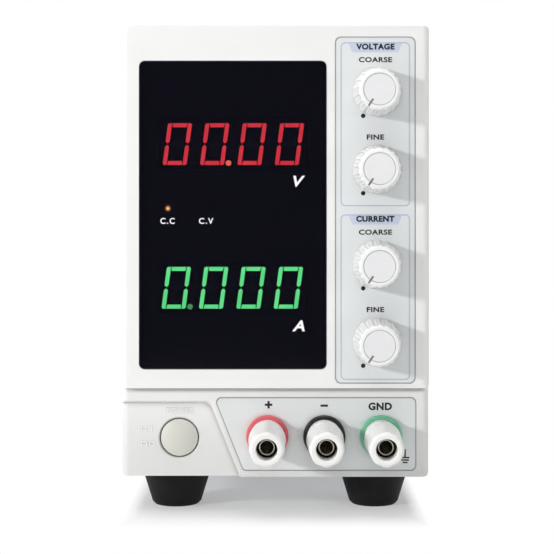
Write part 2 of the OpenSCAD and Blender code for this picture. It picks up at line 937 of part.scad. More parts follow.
// A fluted knob with a hollow skirt and a seat for its disc
module knob(i) {
    base_r = knob_d / 2;
    rim_r = knob_rim_d / 2;
    band = 1.8;
    rim_bevel = 0.7;
    swell = 0.12;
    front_wall = 4.5;
    skirt_taper = 0.3;
    flutes = 18;
    flute_r = 1.1;
    lean = atan((base_r - rim_r) / (knob_h - band));
    inside = knob_h - front_wall;
    seat_r = knob_cap_d / 2 + running;
    seat = knob_h - knob_cap_t;
    color("white")
        face_at(knob_x, knob_z[i], knob_back)
            difference() {
                rotate_extrude()
                    polygon([
                        [shaft_d / 2 + running, 0], [hub_d / 2, 0], [hub_d / 2, inside],
                        [rim_r - knob_wall, inside], [base_r - knob_wall - skirt_taper, 0], [base_r, 0],
                        [base_r, band], [rim_r + swell, knob_h - rim_bevel], [rim_r - rim_bevel, knob_h],
                        [seat_r, knob_h], [seat_r, seat], [shaft_d / 2 + running, seat]
                    ]);
                for (k = [0:flutes - 1])
                    rotate([0, 0, k * 360 / flutes])
                        translate([base_r + flute_r - flute_depth, 0, band])
                            rotate([0, -lean, 0])
                                cylinder(r = flute_r, h = knob_h * 1.2, $fn = 12);
            }
}

// The disc in the front of a knob, slightly sunk and bevelled
module knob_cap(i) {
    r = knob_cap_d / 2;
    sunk = 0.05;
    bevel = 0.15;
    front = knob_cap_t - sunk;
    color("whitesmoke")
        face_at(knob_x, knob_z[i], knob_front + knob_cap_t)
            rotate_extrude()
                polygon([[0, 0], [r, 0], [r, front - bevel], [r - bevel, front], [0, front]]);
}

module pot_shaft(i) {
    color("silver")
        face_bar(knob_x, knob_z[i], knob_front + knob_cap_t + easy, shaft_end, shaft_d);
}

module voltage_coarse_knob() {
    knob(0);
}

module voltage_fine_knob() {
    knob(1);
}

module current_coarse_knob() {
    knob(2);
}

module current_fine_knob() {
    knob(3);
}

module voltage_coarse_cap() {
    knob_cap(0);
}

module voltage_fine_cap() {
    knob_cap(1);
}

module current_coarse_cap() {
    knob_cap(2);
}

module current_fine_cap() {
    knob_cap(3);
}

module voltage_coarse_shaft() {
    pot_shaft(0);
}

module voltage_fine_shaft() {
    pot_shaft(1);
}

module current_coarse_shaft() {
    pot_shaft(2);
}

module current_fine_shaft() {
    pot_shaft(3);
}

module potentiometers() {
    neck_front = upright_back - neck_l;
    tag = [1.4, 7];
    tag_t = 0.6;
    tag_pitch = 5;
    tag_front = upright_back + 2;
    tag_drop = pot_d / 2 + 0.4;
    color([0.45, 0.45, 0.48])
        for (z = knob_z)
            difference() {
                union() {
                    face_bar(knob_x, z, upright_back, upright_back + pot_l, pot_d);
                    face_bar(knob_x, z, neck_front, upright_back + over, pot_neck_d);
                    for (k = [-1:1])
                        face_plate(knob_x + k * tag_pitch, z - tag_drop, tag_front, tag_front + tag_t)
                            square(tag, center = true);
                }
                face_bar(knob_x, z, neck_front - over, shaft_end + over / 2, shaft_d + 2 * running);
            }
}

module pot_nuts() {
    color("silver")
        for (z = knob_z)
            face_at(knob_x, z, upright_depth)
                difference() {
                    cylinder(d = pot_nut_d, h = pot_nut_t, $fn = 6);
                    translate([0, 0, -over])
                        cylinder(d = pot_neck_d + 2 * running, h = pot_nut_t + 2 * over);
                }
}

// ---- Binding posts ----

module collar(i, tone) {
    bevel = 0.4;
    height = terminal_step - inlay_proud - collar_front;
    spigot = terminal_back - terminal_step + inlay_proud - 0.2;
    color(tone)
        face_at(post_x[i], post_z, terminal_step - inlay_proud)
            rotate_extrude()
                polygon([
                    [stud_d / 2 + easy, -spigot], [spigot_d / 2, -spigot], [spigot_d / 2, 0],
                    [collar_d / 2, 0], [collar_d / 2, height - bevel], [collar_d / 2 - bevel, height],
                    [stud_d / 2 + easy, height]
                ]);
}

module positive_collar() {
    collar(0, "crimson");
}

module negative_collar() {
    collar(1, [0.07, 0.07, 0.07]);
}

module ground_collar() {
    collar(2, "seagreen");
}

// A screw cap that flares and tapers again, with shallow flats, open in front for the plug
module post_cap(i) {
    length = cap_back - cap_front;
    well = cap_back - cap_shoulder;
    thread = cap_back - thread_end;
    bevel = 0.8;
    hole_bevel = 0.3;
    base_r = cap_base_d / 2;
    wide_r = cap_wide_d / 2;
    front_r = cap_front_d / 2;
    hole_r = cap_hole_d / 2;
    thread_r = stud_d / 2 + running;
    lean = atan((wide_r - front_r) / (length - bevel - cap_flare));
    color("white")
        face_at(post_x[i], post_z, cap_back)
            difference() {
                rotate_extrude()
                    polygon([
                        [cap_well_d / 2, 0], [base_r, 0], [wide_r, cap_flare],
                        [front_r, length - bevel], [front_r - bevel, length],
                        [hole_r + hole_bevel, length], [hole_r, length - hole_bevel],
                        [hole_r, thread], [thread_r, thread], [thread_r, well], [cap_well_d / 2, well]
                    ]);
                for (k = [0:cap_flats - 1])
                    rotate([0, 0, (k + 0.5) * 360 / cap_flats])
                        translate([wide_r - cap_flat_depth, -wide_r, cap_flare])
                            rotate([0, -lean, 0])
                                cube([wide_r, 2 * wide_r, 2 * length]);
            }
}

module positive_cap() {
    post_cap(0);
}

module negative_cap() {
    post_cap(1);
}

module ground_cap() {
    post_cap(2);
}

// The clamp washer that travels with the cap
module clamp_washer(i) {
    color("silver")
        face_at(post_x[i], post_z, washer_back)
            difference() {
                cylinder(d = washer_d, h = washer_t);
                translate([0, 0, -over])
                    cylinder(d = stud_d + 2 * running, h = washer_t + 2 * over);
            }
}

module positive_washer() {
    clamp_washer(0);
}

module negative_washer() {
    clamp_washer(1);
}

module ground_washer() {
    clamp_washer(2);
}

module post_studs() {
    mouth = 0.2;
    tip = 0.45;
    color("gold")
        for (x = post_x)
            difference() {
                union() {
                    face_bar(x, post_z, stud_front + tip, stud_back, stud_d);
                    face_at(x, post_z, stud_front + tip)
                        cylinder(d1 = stud_d, d2 = stud_d - 2 * tip, h = tip);
                    face_bar(x, post_z, collar_front - flange_t, collar_front, flange_d);
                }
                face_bar(x, post_z, stud_front - over, stud_front + socket_depth, socket_d);
                face_at(x, post_z, stud_front + mouth)
                    cylinder(d1 = socket_d, d2 = socket_d + 4 * mouth, h = 2 * mouth);
                translate([x, face_y + wire_hole_depth, post_z - stud_d])
                    cylinder(d = wire_hole_d, h = 2 * stud_d);
            }
}

module post_nuts() {
    color("silver")
        for (x = post_x)
            face_at(x, post_z, terminal_back + post_nut_t)
                difference() {
                    cylinder(d = post_nut_d, h = post_nut_t, $fn = 6);
                    translate([0, 0, -over])
                        cylinder(d = stud_d + 2 * running, h = post_nut_t + 2 * over);
                }
}

// ---- Front electronics ----

module display_board() {
    color("darkgreen")
        face_plate(window_x, window_z, board_front, board_front + board_t)
            square([display_board_w, display_board_h], center = true);
}

module display_module(z) {
    color([0.12, 0.12, 0.13])
        face_plate(window_x, z, digits_depth, board_front)
            square([digits_w, digits_h], center = true);
}

module voltage_display() {
    display_module(volts_z);
}

module current_display() {
    display_module(amps_z);
}

module mode_lamps() {
    length = 4;
    color("orange")
        for (i = [0, 1])
            face_at(window_x - lamp_left + i * lamp_pitch, lamp_z, board_front) {
                cylinder(d = lamp_d, h = length);
                cylinder(d = lamp_d + 0.8, h = 1);
                translate([0, 0, length])
                    sphere(d = lamp_d);
            }
}

// ---- Power train ----

module transformer_core() {
    window_h_core = core_h - 2 * leg_w;
    color([0.25, 0.25, 0.27])
        translate([0, transformer_y + core_stack / 2, floor_top])
            rotate([90, 0, 0])
                linear_extrude(core_stack)
                    difference() {
                        translate([-core_w / 2, 0])
                            square([core_w, core_h]);
                        for (x = [-2 * leg_w, leg_w])
                            translate([x, leg_w])
                                square([leg_w, window_h_core]);
                    }
}

module transformer_windings() {
    play = 0.3;
    reach = 13;
    outer_w = 4 * leg_w - 2 * play;
    inner_w = 2 * leg_w + 2 * play;
    height = core_h - 2 * leg_w - 2 * play;
    color("goldenrod")
        translate([0, transformer_y, floor_top + leg_w + play])
            linear_extrude(height)
                difference() {
                    rounded_rect(outer_w, core_stack + 2 * reach, 5);
                    square([inner_w, core_stack + 2 * play], center = true);
                }
}

module main_board() {
    color("darkgreen")
        translate([0, main_board_y, board_z])
            linear_extrude(board_t)
                square([main_board_w, main_board_l], center = true);
}

module filter_capacitors() {
    r = capacitor_d / 2;
    x = main_board_w / 2 - r - 6;
    bead = 1;
    bead_depth = 0.8;
    bead_z = 4;
    bevel = 1;
    color("steelblue")
        for (y = [main_board_y - r - 2, main_board_y + r + 2])
            translate([x, y, board_z + board_t])
                rotate_extrude()
                    polygon([
                        [0, 0], [r, 0], [r, bead_z - bead], [r - bead_depth, bead_z], [r, bead_z + bead],
                        [r, capacitor_h - bevel], [r - bevel, capacitor_h], [0, capacitor_h]
                    ]);
}

module heat_sink() {
    pitch = (sink_l - sink_fin_t) / (sink_fins - 1);
    color("darkgray")
        translate([sink_x, sink_y - sink_l / 2, board_z + board_t])
            linear_extrude(sink_h) {
                translate([-sink_base, 0])
                    square([sink_base, sink_l]);
                for (i = [0:sink_fins - 1])
                    translate([-sink_base - sink_fin_l, i * pitch])
                        square([sink_fin_l + 1, sink_fin_t]);
            }
}

module power_transistors() {
    body = [5, 15.6, 20];
    lead = [0.6, 1.2, 14.4];
    lead_pitch = 5.45;
    root = 0.4;
    color([0.1, 0.1, 0.1])
        for (s = [-1, 1])
            translate([sink_x, sink_y + s * sink_l / 4, board_z + board_t]) {
                translate([0, -body.y / 2, lead.z - root])
                    cube(body);
                for (k = [-1:1])
                    translate([body.x / 2 - lead.x / 2, k * lead_pitch - lead.y / 2, 0])
                        cube(lead);
            }
}

// ---- Fan ----

module fan_frame() {
    strut_w = 4;
    seat_t = 3;
    root = 0.4;
    corner = 4;
    color([0.12, 0.12, 0.12])
        rear_at(0, fan_z, -sheet_t - fan_t)
            difference() {
                union() {
                    difference() {
                        union() {
                            cylinder(d = fan_w - 2 * root, h = fan_t);
                            for (z = [0, fan_t - fan_flange_t])
                                translate([0, 0, z])
                                    linear_extrude(fan_flange_t)
                                        rounded_rect(fan_w, fan_w, corner);
                        }
                        translate([0, 0, -over])
                            cylinder(d = fan_hole_d, h = fan_t + 2 * over);
                    }
                    cylinder(r = hub_r, h = seat_t);
                    for (a = [45, 135])
                        rotate([0, 0, a])
                            translate([-fan_hole_d / 2 - root, -strut_w / 2, 0])
                                cube([fan_hole_d + 2 * root, strut_w, seat_t]);
                    cylinder(d = axle_d, h = axle_l, $fn = 32);
                }
                for (x = [-1, 1], y = [-1, 1])
                    translate([x * fan_screw_at, y * fan_screw_at, -over])
                        cylinder(d = fan_screw_d + 2 * easy, h = fan_t + 2 * over, $fn = 32);
            }
}

module fan_rotor() {
    low = 3.5;
    height = fan_t - low - 1.5;
    blade_t = 1.4;
    hub_wall = 1.5;
    bearing_r = 5;
    color([0.12, 0.12, 0.12])
        rear_at(0, fan_z, -sheet_t - fan_t)
            difference() {
                union() {
                    translate([0, 0, low])
                        cylinder(r = hub_r, h = height);
                    intersection() {
                        translate([0, 0, low])
                            cylinder(r = blade_r, h = height);
                        for (k = [0:blade_count - 1])
                            rotate([0, 0, k * 360 / blade_count])
                                translate([hub_r - 2, 0, low + height / 2])
                                    rotate([blade_pitch, 0, 0])
                                        translate([0, -height, -blade_t / 2])
                                            cube([blade_r, 2 * height, blade_t]);
                    }
                }
                cylinder(d = axle_d + 2 * running, h = axle_l + over / 2, $fn = 32);
                translate([0, 0, low - over])
                    difference() {
                        cylinder(r = hub_r - hub_wall, h = height - hub_wall);
                        cylinder(r = bearing_r, h = height);
                    }
            }
}

module fan_guard() {
    rings = 5;
    wire_r = guard_wire / 2;
    ring_out = guard_wire * 1.3;
    outer = fan_hole_d / 2 - 1;
    eye_d = 9;
    color("silver")
        rear_at(0, fan_z, 0)
            difference() {
                union() {
                    for (i = [1:rings])
                        translate([0, 0, ring_out])
                            rotate_extrude()
                                translate([outer * i / rings, 0])
                                    circle(r = wire_r * 0.8, $fn = 24);
                    for (a = [45, 135])
                        rotate([0, 0, a])
                            translate([-fan_screw_at * sqrt(2), 0, wire_r])
                                rotate([0, 90, 0])
                                    cylinder(r = wire_r, h = 2 * fan_screw_at * sqrt(2), $fn = 24);
                    for (x = [-1, 1], y = [-1, 1])
                        translate([x * fan_screw_at, y * fan_screw_at, 0])
                            cylinder(d = eye_d, h = guard_wire, $fn = 32);
                }
                for (x = [-1, 1], y = [-1, 1])
                    translate([x * fan_screw_at, y * fan_screw_at, -over])
                        cylinder(d = fan_screw_d + 2 * easy, h = guard_wire + 2 * over, $fn = 32);
            }
}

// ---- Mains inlet ----

module inlet_outline(w, h, cut) {
    polygon([
        [-w / 2, -h / 2], [w / 2, -h / 2], [w / 2, h / 2 - cut],
        [w / 2 - cut, h / 2], [-w / 2 + cut, h / 2], [-w / 2, h / 2 - cut]
    ]);
}

module inlet_socket() {
    slot_w = drawer_w + 2 * easy;
    slot_h = drawer_h + 2 * easy;
    color([0.1, 0.1, 0.1])
        rear_at(inlet_x, inlet_z, 0)
            difference() {
                union() {
                    linear_extrude(inlet_flange_t)
                        rounded_rect(inlet_w, inlet_h, 2);
                    translate([-inlet_body_w / 2, -inlet_body_h / 2, -inlet_body_l])
                        cube([inlet_body_w, inlet_body_h, inlet_body_l + 0.5]);
                }
                translate([0, -socket_drop, inlet_flange_t - socket_l])
                    linear_extrude(socket_l + over)
                        inlet_outline(socket_w, socket_h, socket_cut);
                for (p = pin_points)
                    translate([p.x, p.y - socket_drop, -inlet_body_l - over])
                        linear_extrude(inlet_body_l)
                            square([pin_w, pin_h], center = true);
                translate([-slot_w / 2, drawer_rise - slot_h / 2, inlet_flange_t - drawer_l - 0.5])
                    cube([slot_w, slot_h, drawer_l + over]);
            }
}

module inlet_pins() {
    reach = 12.5;
    tag_l = 8;
    back = -inlet_body_l - tag_l;
    color("silver")
        rear_at(inlet_x, inlet_z - socket_drop, back)
            for (p = pin_points)
                translate([p.x, p.y, 0])
                    linear_extrude(inlet_flange_t - socket_l + reach - back)
                        square([pin_w, pin_h], center = true);
}

// A drawer with a pull lip and a cradle for the fuse
module fuse_drawer() {
    tray_l = drawer_l - 0.4;
    color([0.13, 0.13, 0.13])
        rear_at(inlet_x, inlet_z + drawer_rise, inlet_flange_t)
            difference() {
                union() {
                    translate([-drawer_w / 2, -drawer_h / 2, -tray_l])
                        cube([drawer_w, drawer_h, tray_l + seat_gap + 0.5]);
                    translate([0, 0, seat_gap])
                        linear_extrude(drawer_plate_t)
                            rounded_rect(drawer_w + 2, drawer_h + 2, 1);
                    translate([-drawer_w / 4, -drawer_h / 2 - 1, seat_gap])
                        cube([drawer_w / 2, 2, drawer_plate_t + 0.5]);
                }
                translate([-fuse_l / 2 - 0.3, -fuse_d / 2 - 0.1, -tray_l - over])
                    cube([fuse_l + 0.6, drawer_h, fuse_d + 2 + over]);
            }
}

module fuse() {
    depth = inlet_flange_t - drawer_l + 0.6 + fuse_d / 2;
    color("lightgray")
        rear_at(inlet_x, inlet_z + drawer_rise, depth)
            translate([-fuse_l / 2, 0, 0])
                rotate([0, 90, 0])
                    cylinder(d = fuse_d, h = fuse_l);
}

// ---- Voltage selector ----

module voltage_selector() {
    plate_t = 1.2;
    color([0.1, 0.1, 0.1])
        rear_at(selector_x, selector_z, 0)
            difference() {
                union() {
                    linear_extrude(plate_t)
                        rounded_rect(selector_w, selector_h, 1.5);
                    translate([-(selector_w - 7) / 2, -(selector_h - 4) / 2, -selector_body_l])
                        cube([selector_w - 7, selector_h - 4, selector_body_l + 0.5]);
                }
                translate([-selector_well_w / 2, -selector_well_h / 2, -5])
                    cube([selector_well_w, selector_well_h, 10]);
            }
}

module selector_slider() {
    gap = 0.3;
    rest_x = -selector_travel / 2;
    color("crimson")
        rear_at(selector_x, selector_z, 0)
            difference() {
                translate([rest_x - slider_w / 2, -selector_well_h / 2 + gap, -5 + gap])
                    cube([slider_w, selector_well_h - 2 * gap, 5 - gap + slider_proud]);
                translate([rest_x - 0.6, -selector_well_h, slider_proud - 0.8])
                    cube([1.2, 2 * selector_well_h, 2]);
            }
}

// ---- Drawing ----

front_bezel();
display_window();
control_overlay();
terminal_overlay();
base_chassis();
rear_panel();
top_cover();
foot_front_left();
foot_front_right();
foot_rear_left();
foot_rear_right();
foot_screws();
case_screws();
fan_screws();
power_button();
power_switch();
voltage_coarse_knob();
voltage_fine_knob();
current_coarse_knob();
current_fine_knob();
voltage_coarse_cap();
voltage_fine_cap();
current_coarse_cap();
current_fine_cap();
voltage_coarse_shaft();
voltage_fine_shaft();
current_coarse_shaft();
current_fine_shaft();
potentiometers();
pot_nuts();
positive_collar();
negative_collar();
ground_collar();
positive_cap();
negative_cap();
ground_cap();
positive_washer();
negative_washer();
ground_washer();
post_studs();
post_nuts();
display_board();
voltage_display();
current_display();
mode_lamps();
transformer_core();
transformer_windings();
main_board();
filter_capacitors();
heat_sink();
power_transistors();
fan_frame();
fan_rotor();
fan_guard();
inlet_socket();
inlet_pins();
fuse_drawer();
fuse();
voltage_selector();
selector_slider();
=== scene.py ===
"""The looks of a bench power supply, built round its CAD frame. Metres: X right, Y back, Z up."""

import json
import math

import bpy
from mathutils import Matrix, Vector

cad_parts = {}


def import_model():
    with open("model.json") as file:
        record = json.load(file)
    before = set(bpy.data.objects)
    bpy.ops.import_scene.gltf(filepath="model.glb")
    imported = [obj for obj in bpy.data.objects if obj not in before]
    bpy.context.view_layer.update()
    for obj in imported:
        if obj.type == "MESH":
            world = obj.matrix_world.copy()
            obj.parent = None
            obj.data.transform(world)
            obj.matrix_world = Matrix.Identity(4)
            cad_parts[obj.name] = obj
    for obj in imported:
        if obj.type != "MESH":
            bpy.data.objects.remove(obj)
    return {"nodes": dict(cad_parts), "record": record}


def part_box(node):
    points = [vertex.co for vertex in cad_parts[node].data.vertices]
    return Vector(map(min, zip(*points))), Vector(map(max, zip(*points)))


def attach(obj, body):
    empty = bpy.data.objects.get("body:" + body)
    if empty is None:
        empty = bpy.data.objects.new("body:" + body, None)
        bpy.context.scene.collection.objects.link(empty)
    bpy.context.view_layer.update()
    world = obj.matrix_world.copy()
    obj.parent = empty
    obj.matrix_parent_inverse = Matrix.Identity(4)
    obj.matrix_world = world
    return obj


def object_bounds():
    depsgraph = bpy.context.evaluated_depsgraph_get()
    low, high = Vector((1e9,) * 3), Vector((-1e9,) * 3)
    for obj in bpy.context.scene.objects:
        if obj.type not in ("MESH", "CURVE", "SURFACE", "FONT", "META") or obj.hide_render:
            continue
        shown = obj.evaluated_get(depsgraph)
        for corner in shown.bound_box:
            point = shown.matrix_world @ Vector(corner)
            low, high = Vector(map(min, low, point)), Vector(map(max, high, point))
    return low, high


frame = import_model()
cad_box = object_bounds()

MM = 0.001

# ---- Places, from the frame ----


class Place:
    """Where a CAD node is at rest: its corners and its middle."""

    def __init__(self, node):
        self.low, self.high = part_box(node)
        self.middle = (self.low + self.high) / 2
        self.size = self.high - self.low


CONTROLS = ["voltage_coarse", "voltage_fine", "current_coarse", "current_fine"]
POSTS = ["positive", "negative", "ground"]

bezel = Place("front_bezel")
lens = Place("display_window")
control = Place("control_overlay")
terminal = Place("terminal_overlay")
button = Place("power_button")
volts = Place("voltage_display")
amps = Place("current_display")
lamps = Place("mode_lamps")
discs = [Place(name + "_cap") for name in CONTROLS]
knobs = [Place(name + "_knob") for name in CONTROLS]
collars = [Place(name + "_collar") for name in POSTS]
front = bezel.low.y

# How thick a print is, and how far it is let into the surface under it
PRINT = 0.04 * MM
BITE = 0.02 * MM

# ---- Outlines: points seen from the front, X right and Z up ----


def corner_arc(before, corner, after, radius, steps=8):
    """The points that round one corner of an outline."""
    one = (before - corner).normalized()
    two = (after - corner).normalized()
    half = one.angle(two) / 2
    middle = corner + (one + two).normalized() * radius / math.sin(half)
    start = corner + one * radius / math.tan(half) - middle
    end = corner + two * radius / math.tan(half) - middle
    turn = math.atan2(start.x * end.y - start.y * end.x, start.dot(end))
    points = []
    for step in range(steps + 1):
        angle = turn * step / steps
        across = Vector((-start.y, start.x))
        points.append(middle + start * math.cos(angle) + across * math.sin(angle))
    return points


def rounded(corners, radius):
    """A closed outline with every corner rounded."""
    corners = [Vector(corner) for corner in corners]
    points = []
    for index, corner in enumerate(corners):
        after = corners[(index + 1) % len(corners)]
        points += corner_arc(corners[index - 1], corner, after, radius)
    return points


def inset(corners, distance):
    """The corners of a convex outline, drawn counter-clockwise, moved in by a distance."""
    corners = [Vector(corner) for corner in corners]
    moved = []
    for index, corner in enumerate(corners):
        one = (corner - corners[index - 1]).normalized()
        two = (corners[(index + 1) % len(corners)] - corner).normalized()
        into_one = Vector((-one.y, one.x))
        into_two = Vector((-two.y, two.x))
        along = (into_one + into_two).normalized()
        moved.append(corner + along * distance / along.dot(into_one))
    return moved


def rectangle(x, z, width, height):
    """The corners of a rectangle about its middle."""
    w, h = width / 2, height / 2
    return [(x - w, z - h), (x + w, z - h), (x + w, z + h), (x - w, z + h)]


def circle(x, z, radius, steps=40):
    """The points of a circle about its middle."""
    turns = [2 * math.pi * step / steps for step in range(steps)]
    return [(x + radius * math.cos(turn), z + radius * math.sin(turn)) for turn in turns]


def band(corners, radius, width):
    """Two loops that bound a line of a given width, drawn just inside rounded corners."""
    inner = max(radius - width, 0.1 * MM)
    return [rounded(corners, radius), rounded(inset(corners, width), inner)]


# ---- Pieces ----


def piece(name, mesh, body, material):
    """Puts a mesh in the scene, riding on a body, with a finish named by the record's slot."""
    item = bpy.data.objects.new(name, mesh)
    bpy.context.scene.collection.objects.link(item)
    mesh.materials.clear()
    mesh.materials.append(MATERIALS[material])
    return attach(item, body)


def curve_mesh(curve):
    """The mesh that a curve makes. The curve goes."""
    holder = bpy.data.objects.new("holder", curve)
    bpy.context.scene.collection.objects.link(holder)
    graph = bpy.context.evaluated_depsgraph_get()
    mesh = bpy.data.meshes.new_from_object(holder.evaluated_get(graph))
    bpy.data.objects.remove(holder)
    bpy.data.curves.remove(curve)
    return mesh


def face_front(mesh, y, thickness):
    """Turns a mesh drawn on its back to face the user, its back at y."""
    heights = [vertex.co.z for vertex in mesh.vertices]
    low = min(heights)
    reach = max(heights) - low
    for vertex in mesh.vertices:
        x, up, out = vertex.co
        vertex.co = (x, y - (out - low) / reach * thickness, up)


def film(name, loops, y, thickness, material):
    """A flat piece bounded by closed loops; a loop inside another is a hole."""
    curve = bpy.data.curves.new(name, "CURVE")
    curve.dimensions = "2D"
    curve.fill_mode = "BOTH"
    curve.extrude = MM
    for loop in loops:
        spline = curve.splines.new("POLY")
        spline.points.add(len(loop) - 1)
        for point, (x, z) in zip(spline.points, loop):
            point.co = (x, z, 0, 1)
        spline.use_cyclic_u = True
    mesh = curve_mesh(curve)
    face_front(mesh, y, thickness)
    return piece(name, mesh, "case", material)


def printed(name, loops, y, material):
    """A print on the surface at y."""
    return film(name, loops, y + BITE, PRINT, material)


def lettering(name, words, x, z, height, width, y, material, bold=0.035, lean=0.0, rise=PRINT, gap=1.08):
    """Letters on the surface at y, fitted about a middle to a capital's height and a width."""
    curve = bpy.data.curves.new(name, "FONT")
    curve.body = words
    curve.offset = bold
    curve.shear = lean
    curve.space_character = gap
    curve.extrude = 1
    curve.resolution_u = 4
    mesh = curve_mesh(curve)
    xs = [vertex.co.x for vertex in mesh.vertices]
    zs = [vertex.co.y for vertex in mesh.vertices]
    for vertex in mesh.vertices:
        vertex.co.x = x + ((vertex.co.x - min(xs)) / (max(xs) - min(xs)) - 0.5) * width
        vertex.co.y = z + ((vertex.co.y - min(zs)) / (max(zs) - min(zs)) - 0.5) * height
    face_front(mesh, y + BITE, rise)
    return piece(name, mesh, "case", material)


# ---- Materials ----


def srgb(red, green, blue):
    """A colour written as 0 to 255, as the shader wants it."""
    shares = [value / 255 for value in (red, green, blue)]
    linear = [s / 12.92 if s <= 0.04045 else ((s + 0.055) / 1.055) ** 2.4 for s in shares]
    return (*linear, 1.0)


# Radians that the wave texture turns through in a metre, at a scale of 1
WAVE_RADIANS = 20


class Finish:
    """A material whose one Principled shader is fed by small node patterns in object space."""

    def __init__(self, name, **sockets):
        self.material = bpy.data.materials.new(name)
        self.material.use_nodes = True
        self.nodes = self.material.node_tree.nodes
        self.links = self.material.node_tree.links
        self.nodes.clear()
        self.shader = self.nodes.new("ShaderNodeBsdfPrincipled")
        output = self.nodes.new("ShaderNodeOutputMaterial")
        self.links.new(self.shader.outputs["BSDF"], output.inputs["Surface"])
        for socket, value in sockets.items():
            self.shader.inputs[socket.replace("_", " ")].default_value = value
        self.place = self.nodes.new("ShaderNodeTexCoord").outputs["Object"]

    def noise(self, size, detail=2.0, stretch=(1, 1, 1)):
        """Clouds whose features are about size across, from 0 to 1."""
        mapping = self.nodes.new("ShaderNodeMapping")
        mapping.inputs["Scale"].default_value = [1 / (size * along) for along in stretch]
        texture = self.nodes.new("ShaderNodeTexNoise")
        texture.inputs["Scale"].default_value = 1
        texture.inputs["Detail"].default_value = detail
        self.links.new(self.place, mapping.inputs["Vector"])
        self.links.new(mapping.outputs["Vector"], texture.inputs["Vector"])
        return texture.outputs["Fac"]

    def cells(self, size):
        """Round grains about size across."""
        texture = self.nodes.new("ShaderNodeTexVoronoi")
        texture.inputs["Scale"].default_value = 1 / size
        self.links.new(self.place, texture.inputs["Vector"])
        return texture.outputs["Distance"]

    def stripes(self, direction, radian):
        """Stripes across one axis, from 0 to 1, whose wave turns by a radian in the given length."""
        wave = self.nodes.new("ShaderNodeTexWave")
        wave.bands_direction = direction
        wave.inputs["Scale"].default_value = 1 / (WAVE_RADIANS * radian)
        self.links.new(self.place, wave.inputs["Vector"])
        return wave.outputs["Fac"]

    def openness(self, reach, low, high):
        """0 in corners and sockets where less than low of the light gets in, 1 where more than high does."""
        open_sky = self.nodes.new("ShaderNodeAmbientOcclusion")
        open_sky.inputs["Distance"].default_value = reach
        open_sky.samples = 8
        return self.between(open_sky.outputs["AO"], 0, 1, low, high)

    def coordinates(self):
        """X, Y and Z of the surface."""
        split = self.nodes.new("ShaderNodeSeparateXYZ")
        self.links.new(self.place, split.inputs[0])
        return split.outputs["X"], split.outputs["Y"], split.outputs["Z"]

    def vector_maths(self, operation, vector, other=None):
        """One vector operation, with a constant where it takes two vectors."""
        node = self.nodes.new("ShaderNodeVectorMath")
        node.operation = operation
        self.links.new(vector, node.inputs[0])
        if other:
            node.inputs[1].default_value = other
        return node.outputs["Value"] if operation == "LENGTH" else node.outputs["Vector"]

    def maths(self, operation, one, two):
        """One operation on two numbers."""
        node = self.nodes.new("ShaderNodeMath")
        node.operation = operation
        self.links.new(one, node.inputs[0])
        self.links.new(two, node.inputs[1])
        return node.outputs[0]

    def between(self, share, low, high, start=0.3, end=0.7):
        """A number that goes from low to high as share goes from start to end."""
        change = self.nodes.new("ShaderNodeMapRange")
        for socket, value in (("From Min", start), ("From Max", end), ("To Min", low), ("To Max", high)):
            change.inputs[socket].default_value = value
        self.links.new(share, change.inputs["Value"])
        return change.outputs["Result"]

    def blend(self, share, one, two):
        """A colour between two colours, which may be sockets."""
        mix = self.nodes.new("ShaderNodeMix")
        mix.data_type = "RGBA"
        self.links.new(share, mix.inputs["Factor"])
        for socket, colour in ((mix.inputs[6], one), (mix.inputs[7], two)):
            if isinstance(colour, bpy.types.NodeSocket):
                self.links.new(colour, socket)
            else:
                socket.default_value = colour
        return mix.outputs[2]

    def darken(self, colour, share, factor):
        """A colour times a factor where share is 0, and as it is where share is 1."""
        mix = self.nodes.new("ShaderNodeMix")
        mix.data_type = "RGBA"
        mix.blend_type = "MULTIPLY"
        mix.inputs["Factor"].default_value = 1
        self.links.new(colour, mix.inputs[6])
        self.links.new(self.blend(share, (factor, factor, factor, 1), (1, 1, 1, 1)), mix.inputs[7])
        return mix.outputs[2]

    def colour(self, socket):
        """Sets the surface's colour."""
        self.links.new(socket, self.shader.inputs["Base Color"])

    def roughness(self, socket):
        """Sets how matt the surface is."""
        self.links.new(socket, self.shader.inputs["Roughness"])

    def bump(self, height, depth):
        """Raises the surface by up to depth where height is 1."""
        bump = self.nodes.new("ShaderNodeBump")
        bump.inputs["Distance"].default_value = depth
        bump.inputs["Strength"].default_value = 1
        self.links.new(height, bump.inputs["Height"])
        self.links.new(bump.outputs["Normal"], self.shader.inputs["Normal"])


MATERIALS = {}


def shade(colour, factor):
    """A colour made darker or lighter, clipped at white."""
    return (*[min(value * factor, 1.0) for value in colour[:3]], 1.0)


# Heights between which the painted shade at the foot fades out, darkest at the lower one
FOOT_SHADE_Z = (14 * MM, 42 * MM)


def plastic(name, colour, rough=(0.38, 0.5), grain=0.35 * MM, depth=0.006 * MM, spread=0.03, corners=1.0,
            foot_painted_shade=1.0, **sockets):
    """Moulded plastic: faint clouds in the colour, and a fine grain in gloss and relief.

    Two factors paint shade into its colour, to match shading in the photo and not anything in the plastic:
    corners, a painted shade in tight corners, and foot_painted_shade, a painted shade near the table.
    """
    finish = Finish(name, **sockets)
    clouds = finish.noise(18 * MM)
    tone = finish.blend(clouds, shade(colour, 1 - spread), shade(colour, 1 + spread))
    # Painted shade: darker in tight corners, where ambient occlusion finds the surface closed in
    if corners < 1:
        tone = finish.blend(finish.openness(3.2 * MM, 0.68, 0.84), shade(colour, corners), tone)
    # Painted shade: darker towards the table
    if foot_painted_shade < 1:
        height = finish.coordinates()[2]
        tone = finish.darken(tone, finish.between(height, 0, 1, *FOOT_SHADE_Z), foot_painted_shade)
    finish.colour(tone)
    fine = finish.noise(grain, detail=3)
    finish.roughness(finish.between(fine, *rough))
    finish.bump(fine, depth)
    MATERIALS[name] = finish.material


